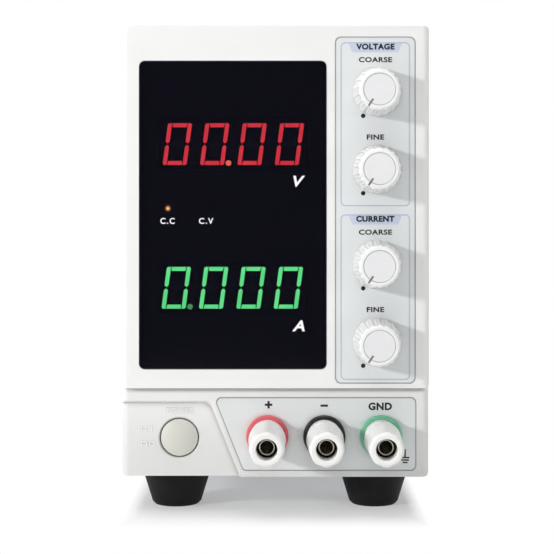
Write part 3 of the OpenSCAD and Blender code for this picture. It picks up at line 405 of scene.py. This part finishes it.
def metal(name, colour, rough=(0.2, 0.35), brushed=(1, 1, 1), tarnish=0.12):
    """Bare or plated metal: cloudy tone, and drawn or tumbled marks in gloss and relief."""
    finish = Finish(name, Metallic=1.0)
    clouds = finish.noise(5 * MM, detail=4)
    finish.colour(finish.blend(clouds, shade(colour, 1 - tarnish), shade(colour, 1 + tarnish)))
    marks = finish.noise(0.25 * MM, detail=3, stretch=brushed)
    finish.roughness(finish.between(marks, *rough))
    finish.bump(marks, 0.004 * MM)
    MATERIALS[name] = finish.material


def plated_bore(name, colour):
    """Nickel plate with painted shade, near black where little light reaches, as down a socket in the photo.
    """
    finish = Finish(name, Metallic=1.0)
    clouds = finish.noise(3 * MM, detail=4)
    unshaded = finish.blend(clouds, shade(colour, 0.9), shade(colour, 1.05))
    # Painted shade: near black where ambient occlusion finds the bore closed in
    finish.colour(finish.blend(finish.openness(4 * MM, 0.25, 0.5), srgb(10, 9, 8), unshaded))
    finish.roughness(finish.between(finish.noise(0.25 * MM, detail=3), 0.16, 0.3))
    MATERIALS[name] = finish.material


def paint(name, colour):
    """Baked powder paint: an orange-peel relief over faint clouds."""
    finish = Finish(name)
    clouds = finish.noise(30 * MM)
    finish.colour(finish.blend(clouds, shade(colour, 0.97), shade(colour, 1.02)))
    peel = finish.noise(0.9 * MM, detail=2)
    finish.roughness(finish.between(peel, 0.42, 0.58))
    finish.bump(peel, 0.02 * MM)
    MATERIALS[name] = finish.material


def ink(name, colour, spread=0.06):
    """Screen-printed ink, a little uneven in tone and gloss."""
    finish = Finish(name)
    patches = finish.noise(1.5 * MM, detail=4)
    finish.colour(finish.blend(patches, shade(colour, 1 - spread), shade(colour, 1 + spread)))
    finish.roughness(finish.between(patches, 0.35, 0.5))
    finish.bump(finish.noise(0.12 * MM), 0.002 * MM)
    MATERIALS[name] = finish.material


def overlay_film():
    """Velvet polycarbonate film, printed light grey."""
    finish = Finish("overlay_film")
    clouds = finish.noise(25 * MM)
    finish.colour(finish.blend(clouds, srgb(222, 225, 225), srgb(226, 229, 229)))
    velvet = finish.cells(0.22 * MM)
    finish.roughness(finish.between(velvet, 0.42, 0.56))
    finish.bump(velvet, 0.003 * MM)
    MATERIALS["overlay_film"] = finish.material


def smoked_acrylic():
    """The display window: nearly black, polished, with faint wipe marks."""
    finish = Finish("window_acrylic", Alpha=0.55, IOR=1.49, Specular_IOR_Level=0.35)
    wipes = finish.noise(14 * MM, detail=4, stretch=(2, 1, 0.5))
    finish.colour(finish.blend(wipes, srgb(14, 14, 25), srgb(17, 16, 29)))
    finish.roughness(finish.between(wipes, 0.06, 0.11))
    finish.bump(finish.noise(60 * MM), 0.02 * MM)
    MATERIALS["window_acrylic"] = finish.material


def glowing(name, body, one, two, strength):
    """A lit lamp or segment, uneven as a real one."""
    finish = Finish(name, Roughness=0.4)
    clouds = finish.noise(5 * MM, detail=3)
    finish.colour(finish.blend(clouds, body, shade(body, 1.4)))
    glow = finish.blend(finish.between(clouds, 0, 1), one, two)
    finish.links.new(glow, finish.shader.inputs["Emission Color"])
    finish.shader.inputs["Emission Strength"].default_value = strength
    MATERIALS[name] = finish.material


# How far the lit spot lies from the middle of its lamp, across and up, as in the photo
SPOT_SHIFT = (-0.2 * MM, -0.15 * MM)


def mode_lamp_plastic():
    """Two clear amber lamps in one node: the left one is lit, brightest at its middle."""
    finish = Finish("lamp_plastic", Roughness=0.2)
    across, up = SPOT_SHIFT
    centre = (lamps.low.x + lamps.size.z / 2 + across, 0, lamps.middle.z + up)
    offset = finish.vector_maths("SUBTRACT", finish.place, centre)
    away = finish.vector_maths("LENGTH", finish.vector_maths("MULTIPLY", offset, (1, 0, 1)))
    clouds = finish.noise(1.2 * MM)
    lit = finish.between(away, 1, 0, 2 * MM, 3 * MM)
    amber = finish.blend(clouds, srgb(130, 70, 16), srgb(150, 84, 24))
    dull = finish.blend(clouds, srgb(44, 36, 30), srgb(54, 44, 36))
    finish.colour(finish.blend(lit, dull, amber))
    halo = finish.blend(finish.between(away, 1, 0, 0.8 * MM, 1.6 * MM), (0, 0, 0, 1), srgb(92, 40, 8))
    glow = finish.blend(finish.between(away, 1, 0, 0.25 * MM, 0.85 * MM), halo, srgb(254, 199, 122))
    finish.links.new(glow, finish.shader.inputs["Emission Color"])
    finish.shader.inputs["Emission Strength"].default_value = 4.8
    MATERIALS["lamp_plastic"] = finish.material


def circuit_board():
    """Green solder mask over copper tracks that show as slightly paler lines."""
    finish = Finish("circuit_board", Roughness=0.3)
    tracks = finish.nodes.new("ShaderNodeTexBrick")
    tracks.inputs["Scale"].default_value = 1 / (12 * MM)
    tracks.inputs["Mortar Size"].default_value = 0.03
    finish.links.new(finish.place, tracks.inputs["Vector"])
    mask = finish.blend(finish.noise(8 * MM), srgb(12, 66, 40), srgb(18, 78, 48))
    finish.colour(finish.blend(tracks.outputs["Fac"], mask, srgb(38, 112, 70)))
    finish.bump(tracks.outputs["Fac"], 0.03 * MM)
    MATERIALS["circuit_board"] = finish.material


def laminations():
    """A stack of thin varnished steel sheets, seen as fine lines along the stack."""
    finish = Finish("core_steel", Metallic=0.7)
    lines = finish.stripes("Y", 0.5 * MM)
    finish.colour(finish.blend(lines, srgb(46, 44, 46), srgb(92, 90, 92)))
    finish.roughness(finish.between(lines, 0.35, 0.55, 0, 1))
    finish.bump(lines, 0.05 * MM)
    MATERIALS["core_steel"] = finish.material


def copper_windings():
    """Enamelled wire under yellow tape."""
    finish = Finish("winding_copper")
    turns = finish.stripes("Z", 1.2 * MM)
    tape = finish.blend(finish.noise(6 * MM), srgb(196, 150, 48), srgb(214, 170, 66))
    finish.colour(finish.blend(finish.between(turns, 0, 0.5), tape, srgb(120, 66, 26)))
    finish.roughness(finish.between(turns, 0.3, 0.45, 0, 1))
    finish.bump(turns, 0.1 * MM)
    MATERIALS["winding_copper"] = finish.material


def make_materials():
    """Every finish, named by the record's slots, and the inks that the prints use."""
    white = srgb(240, 240, 238)
    # The bezel's colour gets painted shade in tight corners and towards the table
    plastic("bezel_plastic", white, corners=0.55, foot_painted_shade=0.83)
    # A lighter copy of the bezel's white, without its painted shade: a painted highlight on the raised
    # lettering
    plastic("relief_plastic", srgb(252, 252, 250), spread=0.01)
    plastic("button_plastic", srgb(214, 214, 204), rough=(0.3, 0.42))
    plastic("knob_plastic", srgb(243, 243, 242), rough=(0.3, 0.42), grain=0.5 * MM)
    plastic("knob_disc_plastic", srgb(235, 235, 236), rough=(0.35, 0.48))
    plastic("post_plastic", srgb(243, 243, 240), rough=(0.28, 0.4))
    plastic("red_plastic", srgb(214, 92, 102), rough=(0.25, 0.4))
    plastic("black_plastic", srgb(20, 20, 22), rough=(0.25, 0.4))
    plastic("green_plastic", srgb(112, 184, 148), rough=(0.25, 0.4))
    plastic("display_plastic", srgb(9, 9, 11), rough=(0.5, 0.65), Specular_IOR_Level=0.2)
    plastic("switch_plastic", srgb(34, 34, 38))
    plastic("fan_plastic", srgb(26, 26, 28), rough=(0.4, 0.55))
    plastic("inlet_plastic", srgb(22, 22, 24), rough=(0.3, 0.42))
    plastic("slider_plastic", srgb(178, 34, 34), rough=(0.3, 0.42))
    plastic("transistor_plastic", srgb(28, 28, 29), rough=(0.45, 0.6))
    plastic("capacitor_can", srgb(38, 62, 110), rough=(0.2, 0.32))
    plastic("foot_rubber", srgb(15, 15, 16), rough=(0.62, 0.78), grain=0.6 * MM, depth=0.02 * MM, spread=0.12,
            Specular_IOR_Level=0.25)
    paint("cover_paint", srgb(226, 226, 222))
    paint("rear_paint", srgb(214, 215, 213))
    metal("plated_steel", srgb(198, 202, 208), rough=(0.3, 0.45), tarnish=0.1)
    metal("screw_steel", srgb(190, 190, 194), rough=(0.25, 0.38))
    metal("shaft_steel", srgb(196, 197, 200), brushed=(1, 12, 1))
    metal("pot_shell", srgb(176, 178, 184), rough=(0.3, 0.45))
    metal("nut_steel", srgb(200, 200, 202))
    plated_bore("stud_brass", srgb(206, 200, 186))
    metal("guard_wire", srgb(206, 208, 212), rough=(0.15, 0.25))
    metal("sink_aluminium", srgb(170, 172, 176), rough=(0.35, 0.5), brushed=(1, 1, 15))
    metal("pin_steel", srgb(206, 204, 198), rough=(0.18, 0.3))
    metal("fuse_glass", srgb(214, 214, 210), rough=(0.1, 0.2))
    overlay_film()
    smoked_acrylic()
    mode_lamp_plastic()
    circuit_board()
    laminations()
    copper_windings()
    ink("dark_ink", srgb(20, 21, 24))
    ink("outline_ink", srgb(176, 178, 177))
    ink("pointer_ink", srgb(116, 116, 116))
    ink("frame_ink", srgb(182, 192, 212))
    ink("plate_ink", srgb(200, 208, 226), spread=0.04)
    ink("white_ink", srgb(252, 252, 252), spread=0.01)
    plastic("mask_ink", srgb(5, 4, 9), rough=(0.5, 0.6), grain=2 * MM, depth=0.002 * MM,
            Specular_IOR_Level=0.1)
    glowing("red_segment", srgb(70, 8, 12), srgb(255, 68, 80), srgb(236, 56, 68), 3.2)
    glowing("red_point", srgb(80, 24, 10), srgb(255, 121, 98), srgb(250, 112, 84), 3.6)
    glowing("green_segment", srgb(10, 60, 26), srgb(115, 251, 156), srgb(98, 236, 140), 3.8)
    glowing("green_point", srgb(10, 60, 26), srgb(100, 190, 124), srgb(92, 176, 116), 2.6)
    plastic("dark_segment", srgb(30, 22, 24), rough=(0.4, 0.55))


def finish_nodes():
    """Gives each CAD node the finish of its slot in the record, and softens its hard edges."""
    slots = {part["node"]: part["material_slot"] for part in frame["record"]["subparts"]}
    for name, item in frame["nodes"].items():
        for holder in item.material_slots:
            holder.material = MATERIALS[slots[name]]
        soften(item, EDGES.get(name, PLAIN_EDGE))


# ---- Edges ----

# Radii of the moulded and broken edges; a node that isn't named has the plain one
PLAIN_EDGE = 0.12 * MM
EDGES = {
    "front_bezel": 0.09 * MM,
    "power_button": 0.25 * MM,
    "display_window": 0.15 * MM,
    "top_cover": 0.15 * MM,
    "base_chassis": 0.15 * MM,
    "rear_panel": 0.15 * MM,
}
# Nodes with some edges too short for their round: there it shrinks until it fits
CLAMPED = ["front_bezel", "power_button", "fan_guard", "positive_cap", "negative_cap", "ground_cap"]
HARD_EDGE = math.radians(28)


def smoothing_group():
    """Geometry nodes that join split corners and keep only the hard edges sharp."""
    tree = bpy.data.node_groups.new("smooth_by_angle", "GeometryNodeTree")
    tree.interface.new_socket("Geometry", in_out="INPUT", socket_type="NodeSocketGeometry")
    tree.interface.new_socket("Geometry", in_out="OUTPUT", socket_type="NodeSocketGeometry")
    source = tree.nodes.new("NodeGroupInput")
    result = tree.nodes.new("NodeGroupOutput")
    join = tree.nodes.new("GeometryNodeMergeByDistance")
    join.inputs["Distance"].default_value = 0.002 * MM
    angle = tree.nodes.new("GeometryNodeInputMeshEdgeAngle")
    hard = tree.nodes.new("FunctionNodeCompare")
    hard.operation = "GREATER_THAN"
    hard.inputs[1].default_value = HARD_EDGE
    normal = tree.nodes.new("GeometryNodeSetMeshNormal")
    normal.mode = "SHARPNESS"
    tree.links.new(source.outputs[0], join.inputs["Geometry"])
    tree.links.new(join.outputs["Geometry"], normal.inputs["Mesh"])
    tree.links.new(angle.outputs["Unsigned Angle"], hard.inputs[0])
    tree.links.new(hard.outputs[0], normal.inputs["Edge Sharpness"])
    tree.links.new(normal.outputs["Mesh"], result.inputs[0])
    return tree


SMOOTHING = smoothing_group()


def soften(item, radius):
    """Smooth shading between hard edges, and a small round on those."""
    smooth = item.modifiers.new("smooth", "NODES")
    smooth.node_group = SMOOTHING
    flat = item.modifiers.new("merge_flats", "DECIMATE")
    flat.decimate_type = "DISSOLVE"
    flat.angle_limit = math.radians(0.5)
    edge = item.modifiers.new("edges", "BEVEL")
    edge.width = radius
    edge.segments = 2
    edge.limit_method = "ANGLE"
    edge.angle_limit = HARD_EDGE
    edge.use_clamp_overlap = item.name in CLAMPED
    edge.harden_normals = True


# ---- Control panel ----

# The grey line round the panel, and the panel's corners
OUTLINE = 0.25 * MM
PANEL_R = 2 * MM
# The light-blue frames: distance from the panel's sides, above and below, and from each other
FRAME_INSET = 1.7 * MM
FRAME_FOOT = 1.1 * MM
FRAME_GAP = 2.7 * MM
FRAME_LINE = 0.4 * MM
FRAME_R = 1.6 * MM
# The plate behind a title: its height, and its half width above and below
PLATE_H = 3 * MM
PLATE_WIDE = 8.9 * MM
PLATE_NARROW = 7.6 * MM
# The dot beside a knob, from the knob's axis, and the way that the knob's pointer points
DOT_R = 0.75 * MM
DOT_AT = 9.2 * MM
DOT_TURN = math.radians(240)
POINTER_TURN = math.radians(236)


def control_frames():
    """The heights between which each frame lies, the upper frame first."""
    middle = (discs[1].middle.z + discs[2].middle.z) / 2 + 2.2 * MM
    top = control.high.z - FRAME_INSET
    low = control.low.z + FRAME_FOOT
    return [(middle + FRAME_GAP / 2, top), (low, middle - FRAME_GAP / 2)]


def control_panel():
    """The prints of the knobs' panel."""
    y = control.low.y
    x = control.middle.x
    corners = rectangle(x, control.middle.z, control.size.x, control.size.z)
    printed("control_outline", band(corners, PANEL_R, OUTLINE), y, "outline_ink")
    width = control.size.x - 2 * FRAME_INSET
    for title, words, (low, high) in zip(("voltage", "current"), ("VOLTAGE", "CURRENT"), control_frames()):
        corners = rectangle(x, (low + high) / 2, width, high - low)
        printed(title + "_frame", band(corners, FRAME_R, FRAME_LINE), y, "frame_ink")
        plate_top = high - FRAME_LINE
        plate_low = plate_top - PLATE_H
        plate = [
            (x - PLATE_WIDE, plate_top), (x - PLATE_NARROW, plate_low),
            (x + PLATE_NARROW, plate_low), (x + PLATE_WIDE, plate_top),
        ]
        printed(title + "_title_plate", [plate], y, "plate_ink")
        lettering(title + "_title", words, x, high - 1.5 * MM, 2.05 * MM, 12.8 * MM,
                  y - PRINT + BITE, "dark_ink", bold=0.05)
    for name, disc in zip(CONTROLS, discs):
        coarse = name.endswith("coarse")
        z = disc.middle.z + 10.75 * MM
        lettering(name + "_label", "COARSE" if coarse else "FINE", x + 0.05 * MM, z, 1.75 * MM,
                  (11.1 if coarse else 5.8) * MM, y, "dark_ink")
        dot_x = disc.middle.x + DOT_AT * math.cos(DOT_TURN)
        dot_z = disc.middle.z + DOT_AT * math.sin(DOT_TURN)
        printed(name + "_dot", [circle(dot_x, dot_z, DOT_R)], y, "dark_ink")


# ---- Terminal panel ----

TERMINAL_LEAN = 0.4
TERMINAL_R = 1.8 * MM


def terminal_corners():
    """The panel's corners, counter-clockwise, its left edge leaning."""
    low, high = terminal.low, terminal.high
    left = low.x - (math.hypot(1, TERMINAL_LEAN) + TERMINAL_LEAN - 1) * TERMINAL_R
    low_left = left + TERMINAL_LEAN * terminal.size.z
    return [(low_left, low.z), (high.x, low.z), (high.x, high.z), (left, high.z)]


def earth_symbol(name, x, z, width, y):
    """The protective-earth sign: a stem over three shrinking bars."""
    line = 0.48 * MM
    height = 4.6 * MM
    top_bar = z - height * 0.12
    bars = []
    for index, share in enumerate((1, 0.9, 0.6)):
        bars.append(rectangle(x, top_bar - index * 0.82 * MM, width * share, line))
    stem_low = top_bar + line / 2
    stem_high = z + height / 2
    bars.append(rectangle(x, (stem_low + stem_high) / 2 - 0.01 * MM, line, stem_high - stem_low))
    return printed(name, bars, y, "dark_ink")


def terminal_panel():
    """The prints of the binding posts' panel."""
    y = terminal.low.y
    printed("terminal_outline", band(terminal_corners(), TERMINAL_R, OUTLINE), y, "outline_ink")
    row = terminal.high.z - 2.4 * MM
    arm = 0.75 * MM
    span = 2.5 * MM
    x = collars[0].middle.x + 0.4 * MM
    half, thin = span / 2, arm / 2
    plus = [
        (x - half, row - thin), (x - thin, row - thin), (x - thin, row - half), (x + thin, row - half),
        (x + thin, row - thin), (x + half, row - thin), (x + half, row + thin), (x + thin, row + thin),
        (x + thin, row + half), (x - thin, row + half), (x - thin, row + thin), (x - half, row + thin),
    ]
    printed("positive_sign", [plus], y, "dark_ink")
    printed("negative_sign", [rectangle(collars[1].middle.x, row - 0.3 * MM, span, arm)], y, "dark_ink")
    lettering("ground_label", "GND", collars[2].middle.x - 0.3 * MM, row - 0.55 * MM, 2.6 * MM, 7.9 * MM,
              y, "dark_ink", bold=0.045)
    earth_symbol("earth_sign", terminal.high.x - 3.6 * MM, terminal.low.z + 4.85 * MM, 2.8 * MM, y)


# ---- Power zone ----

# How far the raised lettering stands out, and how wide its lines are
RELIEF = 0.2 * MM
RELIEF_LINE = 0.36 * MM


def power_zone():
    """Raised lettering and signs round the power button, with a painted highlight: whiter than the bezel so
    that they show.
    """
    y = button_zone_y()
    x, z = button.middle.x, button.middle.z
    lettering("power_word", "POWER", x + 0.35 * MM, z + 9.15 * MM, 1.75 * MM, 9.2 * MM, y,
              "relief_plastic", bold=0.02, rise=RELIEF)
    left = x - 12 * MM
    on_row = z + 3 * MM
    off_row = z - 2 * MM
    for name, row, up in (("pressed", on_row, -1), ("released", off_row, 1)):
        steps = [(-1.5, 0), (-0.8, 0), (-0.8, up), (0.8, up), (0.8, 0), (1.5, 0)]
        path = [Vector((left + px * MM, row + pz * 1.4 * MM - up * 0.7 * MM)) for px, pz in steps]
        film(name + "_sign", [stroke(path, RELIEF_LINE)], y + BITE, RELIEF, "relief_plastic")
    right = x - 9.3 * MM
    film("on_sign", [rectangle(right, on_row, RELIEF_LINE, 2 * MM)], y + BITE, RELIEF, "relief_plastic")
    ring = [circle(right, off_row, 1 * MM), circle(right, off_row, 1 * MM - RELIEF_LINE)]
    film("off_sign", ring, y + BITE, RELIEF, "relief_plastic")


def button_zone_y():
    """The power zone's face, from the button that stands proud of it."""
    return button.low.y + 1 * MM


def stroke(path, width):
    """The outline of a line of square corners drawn along a path."""
    sides = ([], [])
    for index, point in enumerate(path):
        before = (point - path[index - 1]).normalized() if index else None
        after = (path[index + 1] - point).normalized() if index + 1 < len(path) else None
        one = before or after
        two = after or before
        across = Vector((-one.y, one.x)) + Vector((-two.y, two.x))
        across /= across.dot(Vector((-one.y, one.x)))
        sides[0].append(point + across * width / 2)
        sides[1].append(point - across * width / 2)
    return sides[0] + sides[1][::-1]


# ---- Knobs ----


def ribbon(name, x, z, turn, profile, width, body, material):
    """A line that follows a profile of (radius, y) out from an axis, as wide all along."""
    vertices = []
    faces = []
    out = Vector((math.cos(turn), 0, math.sin(turn)))
    side = Vector((-math.sin(turn), 0, math.cos(turn))) * width / 2
    for radius, y in profile:
        point = Vector((x, y, z)) + out * radius
        for shift in (Vector(), Vector((0, 0.15 * MM, 0)) - out * 0.05 * MM):
            vertices += [point + shift + side, point + shift - side]
    for index in range(len(profile) - 1):
        a = 4 * index
        b = a + 4
        faces += [(a, a + 1, b + 1, b), (a + 2, b + 2, b + 3, a + 3), (a, b, b + 2, a + 2),
                  (a + 1, a + 3, b + 3, b + 1)]
    last = 4 * (len(profile) - 1)
    faces += [(0, 2, 3, 1), (last, last + 1, last + 3, last + 2)]
    mesh = bpy.data.meshes.new(name)
    mesh.from_pydata(vertices, [], faces)
    return piece(name, mesh, body, material)


def knob_pointers():
    """A grey line on each knob, from its disc over the rim and down a flute."""
    proud = 0.03 * MM
    for name, knob, disc in zip(CONTROLS, knobs, discs):
        rim = knob.low.y
        disc_r = disc.size.x / 2
        flute_r = knob.size.x / 2 - 0.3 * MM
        profile = [
            (3.75 * MM, disc.low.y - proud), (disc_r - 0.25 * MM, disc.low.y - proud),
            (disc_r + 0.15 * MM, rim - proud), (6.1 * MM, rim - proud), (6.5 * MM, rim + 0.35 * MM),
            (6.6 * MM, rim + 0.9 * MM), (flute_r - 0.55 * MM, rim + 7 * MM),
        ]
        ribbon(name + "_pointer", knob.middle.x, knob.middle.z, POINTER_TURN, profile, 0.6 * MM, name,
               "pointer_ink")


# ---- Display ----

DIGIT_W = 8.1 * MM
DIGIT_H = 14.08 * MM
SEGMENT = 1.36 * MM
SEGMENT_GAP = 0.22 * MM
SEGMENT_RISE = 0.12 * MM
DIGIT_LEAN = math.tan(math.radians(7.5))
DIGIT_PITCH = 12.62 * MM
POINT_R = 0.95 * MM
# The decimal point, from the right end of a digit's foot, as in the photo
POINT_SHIFT = (0.6 * MM, -0.3 * MM)
# The black film behind the window: its thickness, how much smaller than the window, and its hole for a lamp
MASK_T = 0.06 * MM
MASK_LESS = 0.3 * MM
LAMP_HOLE_R = 1.5 * MM


def segment(letter):
    """One segment of a digit, in the digit's own upright frame, its middle at the origin."""
    w, h, t, g = DIGIT_W / 2, DIGIT_H / 2, SEGMENT, SEGMENT_GAP
    c = 0.3 * t
    top = [(-w + t + g, h), (-w + t + g + c * 0.4, h - t), (w - t - g - c * 0.4, h - t), (w - t - g, h)]
    upright = [(w, h - c), (w, g + t / 2), (w - t / 2, g), (w - t, g + t / 2), (w - t, h), (w - c, h)]
    middle = [(-w + t * 1.1, 0), (-w + t * 1.5, t / 2), (w - t * 1.5, t / 2), (w - t * 1.1, 0),
              (w - t * 1.5, -t / 2), (-w + t * 1.5, -t / 2)]
    shapes = {
        "a": top,
        "b": upright,
        "c": [(x, -z) for x, z in upright],
        "d": [(x, -z) for x, z in top],
        "e": [(-x, -z) for x, z in upright],
        "f": [(-x, z) for x, z in upright],
        "g": middle,
    }
    return shapes[letter]


def digit(name, letters, x, z, y, material):
    """The segments of a digit, leaning as they do on the module."""
    loops = []
    for letter in letters:
        loops.append([(x + px + pz * DIGIT_LEAN, z + pz) for px, pz in segment(letter)])
    return film(name, loops, y + BITE, SEGMENT_RISE, material)


def display_row(name, x, z, y, lit_point, digit_ink, point_ink):
    """Four zeros with one lit decimal point; the middle segments and the other points are dark."""
    first = x - 1.5 * DIGIT_PITCH
    across, up = POINT_SHIFT
    points = []
    for index in range(4):
        x = first + index * DIGIT_PITCH
        label = f"{name}_digit_{index + 1}"
        digit(label, "abcdef", x, z, y, digit_ink)
        digit(label + "_unlit", "g", x, z, y, "dark_segment")
        points.append((x + DIGIT_W / 2 + across, z - DIGIT_H / 2 + POINT_R + up))
    for index, (x, point_z) in enumerate(points):
        material = point_ink if index == lit_point else "dark_segment"
        dot = circle(x, point_z, POINT_R, 24)
        film(f"{name}_point_{index + 1}", [dot], y + BITE, SEGMENT_RISE, material)


def display():
    """What shows through the window, and what is printed on it, each shifted to its place in the photo."""
    display_row("voltage", volts.middle.x, volts.middle.z + 0.2 * MM, volts.low.y, 1, "red_segment",
                "red_point")
    display_row("current", amps.middle.x - 0.36 * MM, amps.middle.z, amps.low.y, 0, "green_segment",
                "green_point")
    behind = lens.high.y
    mask = rounded(rectangle(lens.middle.x, lens.middle.z, lens.size.x - MASK_LESS, lens.size.z - MASK_LESS),
                   1 * MM)
    holes = []
    for module in (volts, amps):
        holes.append(rounded(rectangle(module.middle.x, module.middle.z, module.size.x + 1 * MM,
                                       module.size.z - 1 * MM), 1 * MM))
    lamp_x = [lamps.low.x + lamps.size.z / 2, lamps.high.x - lamps.size.z / 2]
    holes += [circle(x, lamps.middle.z, LAMP_HOLE_R) for x in lamp_x]
    film("window_mask", [mask, *holes], behind - BITE, MASK_T, "mask_ink")
    y = lens.low.y
    label_z = lamps.middle.z - 4.2 * MM
    lettering("constant_current_label", "C.C", lamp_x[0] + 0.3 * MM, label_z, 2 * MM, 4.8 * MM, y,
              "white_ink", bold=0.02, gap=1.25)
    lettering("constant_voltage_label", "C.V", lamp_x[1] + 0.1 * MM, label_z, 2 * MM, 4.8 * MM, y,
              "white_ink", bold=0.02, gap=1.25)
    unit_x = lens.middle.x + 22.1 * MM
    lettering("volt_sign", "V", unit_x, volts.middle.z - 12.4 * MM, 3.7 * MM, 3.9 * MM, y,
              "white_ink", bold=0.025, lean=0.25)
    lettering("ampere_sign", "A", unit_x - 0.2 * MM, amps.middle.z - 12.3 * MM, 3.65 * MM, 4.2 * MM, y,
              "white_ink", bold=0.03, lean=0.25)


# ---- Studio ----

CAMERA_BACK = 530 * MM
CAMERA_HEIGHT = 109.1 * MM
CAMERA_SIDE = 1 * MM
LENS_MM = 103.3
FRAME_SHIFT = (-0.002, -0.157)


def camera():
    """Level, straight in front, a little above the middle, as the photograph was taken."""
    data = bpy.data.cameras.new("camera")
    data.lens = LENS_MM
    data.sensor_width = 36
    data.shift_x, data.shift_y = FRAME_SHIFT
    data.clip_start = 10 * MM
    data.clip_end = 100
    item = bpy.data.objects.new("camera", data)
    item.location = (CAMERA_SIDE, front - CAMERA_BACK, CAMERA_HEIGHT)
    item.rotation_euler = (math.radians(90), 0, 0)
    bpy.context.scene.collection.objects.link(item)
    bpy.context.scene.camera = item


def lamp(name, travel, distance, size, level):
    """A square lamp whose light travels along travel and lights a facing surface to level."""
    data = bpy.data.lights.new(name, "AREA")
    data.size = size
    data.energy = level * math.pi**2 * distance**2
    item = bpy.data.objects.new(name, data)
    along = Vector(travel).normalized()
    target = Vector((0, front, cad_box[1].z / 2))
    item.location = target - along * distance
    item.rotation_euler = along.to_track_quat("-Z", "Y").to_euler()
    bpy.context.scene.collection.objects.link(item)


def lights():
    """A key light from the left, a softbox above the front, and fills from the right, above and behind."""
    lamp("key", (1.5, 1.0, -0.45), 1.6, 0.14, 0.52)
    lamp("front_softbox", (0.05, 0.55, -1.0), 0.75, 0.5, 0.26)
    lamp("right_fill", (-1.5, 1.0, -0.1), 1.8, 0.5, 0.12)
    lamp("overhead", (0.1, -0.1, -1.0), 1.5, 1.2, 0.15)
    lamp("rear_fill", (0.4, -1.0, -0.5), 1.8, 0.8, 0.3)


def world():
    """A white room to the camera, metal and glass, and a soft fill to the rest.

    In reflections its front side is dim, so that the window doesn't mirror white.
    """
    room = bpy.data.worlds.new("studio")
    room.use_nodes = True
    nodes, links = room.node_tree.nodes, room.node_tree.links
    nodes.clear()
    output = nodes.new("ShaderNodeOutputWorld")
    paths = nodes.new("ShaderNodeLightPath")
    seen = nodes.new("ShaderNodeMath")
    seen.operation = "MAXIMUM"
    links.new(paths.outputs["Is Camera Ray"], seen.inputs[0])
    links.new(paths.outputs["Is Transmission Ray"], seen.inputs[1])
    direction = nodes.new("ShaderNodeTexCoord")
    split = nodes.new("ShaderNodeSeparateXYZ")
    links.new(direction.outputs["Generated"], split.inputs[0])
    dim = nodes.new("ShaderNodeMapRange")
    for socket, value in (("From Min", -0.95), ("From Max", -0.55), ("To Min", 0.06), ("To Max", 1.0)):
        dim.inputs[socket].default_value = value
    links.new(split.outputs["Y"], dim.inputs["Value"])
    fill = nodes.new("ShaderNodeBackground")
    fill.inputs["Color"].default_value = (0.985, 0.99, 1.0, 1)
    fill.inputs["Strength"].default_value = 0.38
    gloss = nodes.new("ShaderNodeBackground")
    gloss.inputs["Color"].default_value = (1, 1, 1, 1)
    links.new(dim.outputs["Result"], gloss.inputs["Strength"])
    plain = nodes.new("ShaderNodeBackground")
    plain.inputs["Color"].default_value = (1, 1, 1, 1)
    shiny = nodes.new("ShaderNodeMixShader")
    links.new(paths.outputs["Is Glossy Ray"], shiny.inputs[0])
    links.new(fill.outputs[0], shiny.inputs[1])
    links.new(gloss.outputs[0], shiny.inputs[2])
    final = nodes.new("ShaderNodeMixShader")
    links.new(seen.outputs[0], final.inputs[0])
    links.new(shiny.outputs[0], final.inputs[1])
    links.new(plain.outputs[0], final.inputs[2])
    links.new(final.outputs[0], output.inputs["Surface"])
    bpy.context.scene.world = room


FLOOR_HALF = 6.0
# How much of the background's white the floor shows under the object, set to match the photo
FLOOR_SHARE = 0.32
# Where, in Y, the floor in front goes from dim to white in reflections, and how dim it is
DARK_SIDE = (-0.6, -0.35)
DARK_FLOOR = 0.06


def floor():
    """A wide pale floor that keeps the object's shadow and turns white, as the background, further out."""
    mesh = bpy.data.meshes.new("floor")
    corners = [(x, y, 0) for x, y in rectangle(0, 0, 2 * FLOOR_HALF, 2 * FLOOR_HALF)]
    mesh.from_pydata(corners, [], [(0, 1, 2, 3)])
    item = bpy.data.objects.new("floor", mesh)
    bpy.context.scene.collection.objects.link(item)
    finish = Finish("floor", Roughness=0.9, Specular_IOR_Level=0.0)
    nodes, links = finish.nodes, finish.links
    finish.colour(finish.blend(finish.noise(0.5), srgb(238, 238, 238), srgb(242, 242, 242)))
    paths = nodes.new("ShaderNodeLightPath")
    direct = finish.maths("MAXIMUM", paths.outputs["Is Camera Ray"], paths.outputs["Is Transmission Ray"])
    seen = finish.maths("MAXIMUM", direct, paths.outputs["Is Glossy Ray"])
    x, y, _ = finish.coordinates()
    low, high = cad_box
    sides = [
        finish.between(x, 1, 0, low.x + 1 * MM, low.x + 6 * MM),
        finish.between(x, 0, 1, high.x - 6 * MM, high.x - 1 * MM),
        finish.between(y, 1, 0, front - 16 * MM, front + 3 * MM),
        finish.between(y, 0, 1, high.y, high.y + 300 * MM),
    ]
    away = sides[0]
    for side in sides[1:]:
        away = finish.maths("MAXIMUM", away, side)
    white = nodes.new("ShaderNodeEmission")
    mirrored = finish.between(y, DARK_FLOOR, 1, *DARK_SIDE)
    links.new(finish.maths("MAXIMUM", direct, mirrored), white.inputs["Strength"])
    both = nodes.new("ShaderNodeMixShader")
    links.new(finish.maths("MULTIPLY", finish.between(away, FLOOR_SHARE, 1, 0, 1), seen), both.inputs[0])
    links.new(finish.shader.outputs["BSDF"], both.inputs[1])
    links.new(white.outputs[0], both.inputs[2])
    output = next(node for node in nodes if node.type == "OUTPUT_MATERIAL")
    links.new(both.outputs[0], output.inputs["Surface"])
    mesh.materials.append(finish.material)


make_materials()
finish_nodes()
control_panel()
terminal_panel()
power_zone()
knob_pointers()
display()
camera()
lights()
world()
floor()
bpy.context.scene.view_settings.view_transform = "Standard"
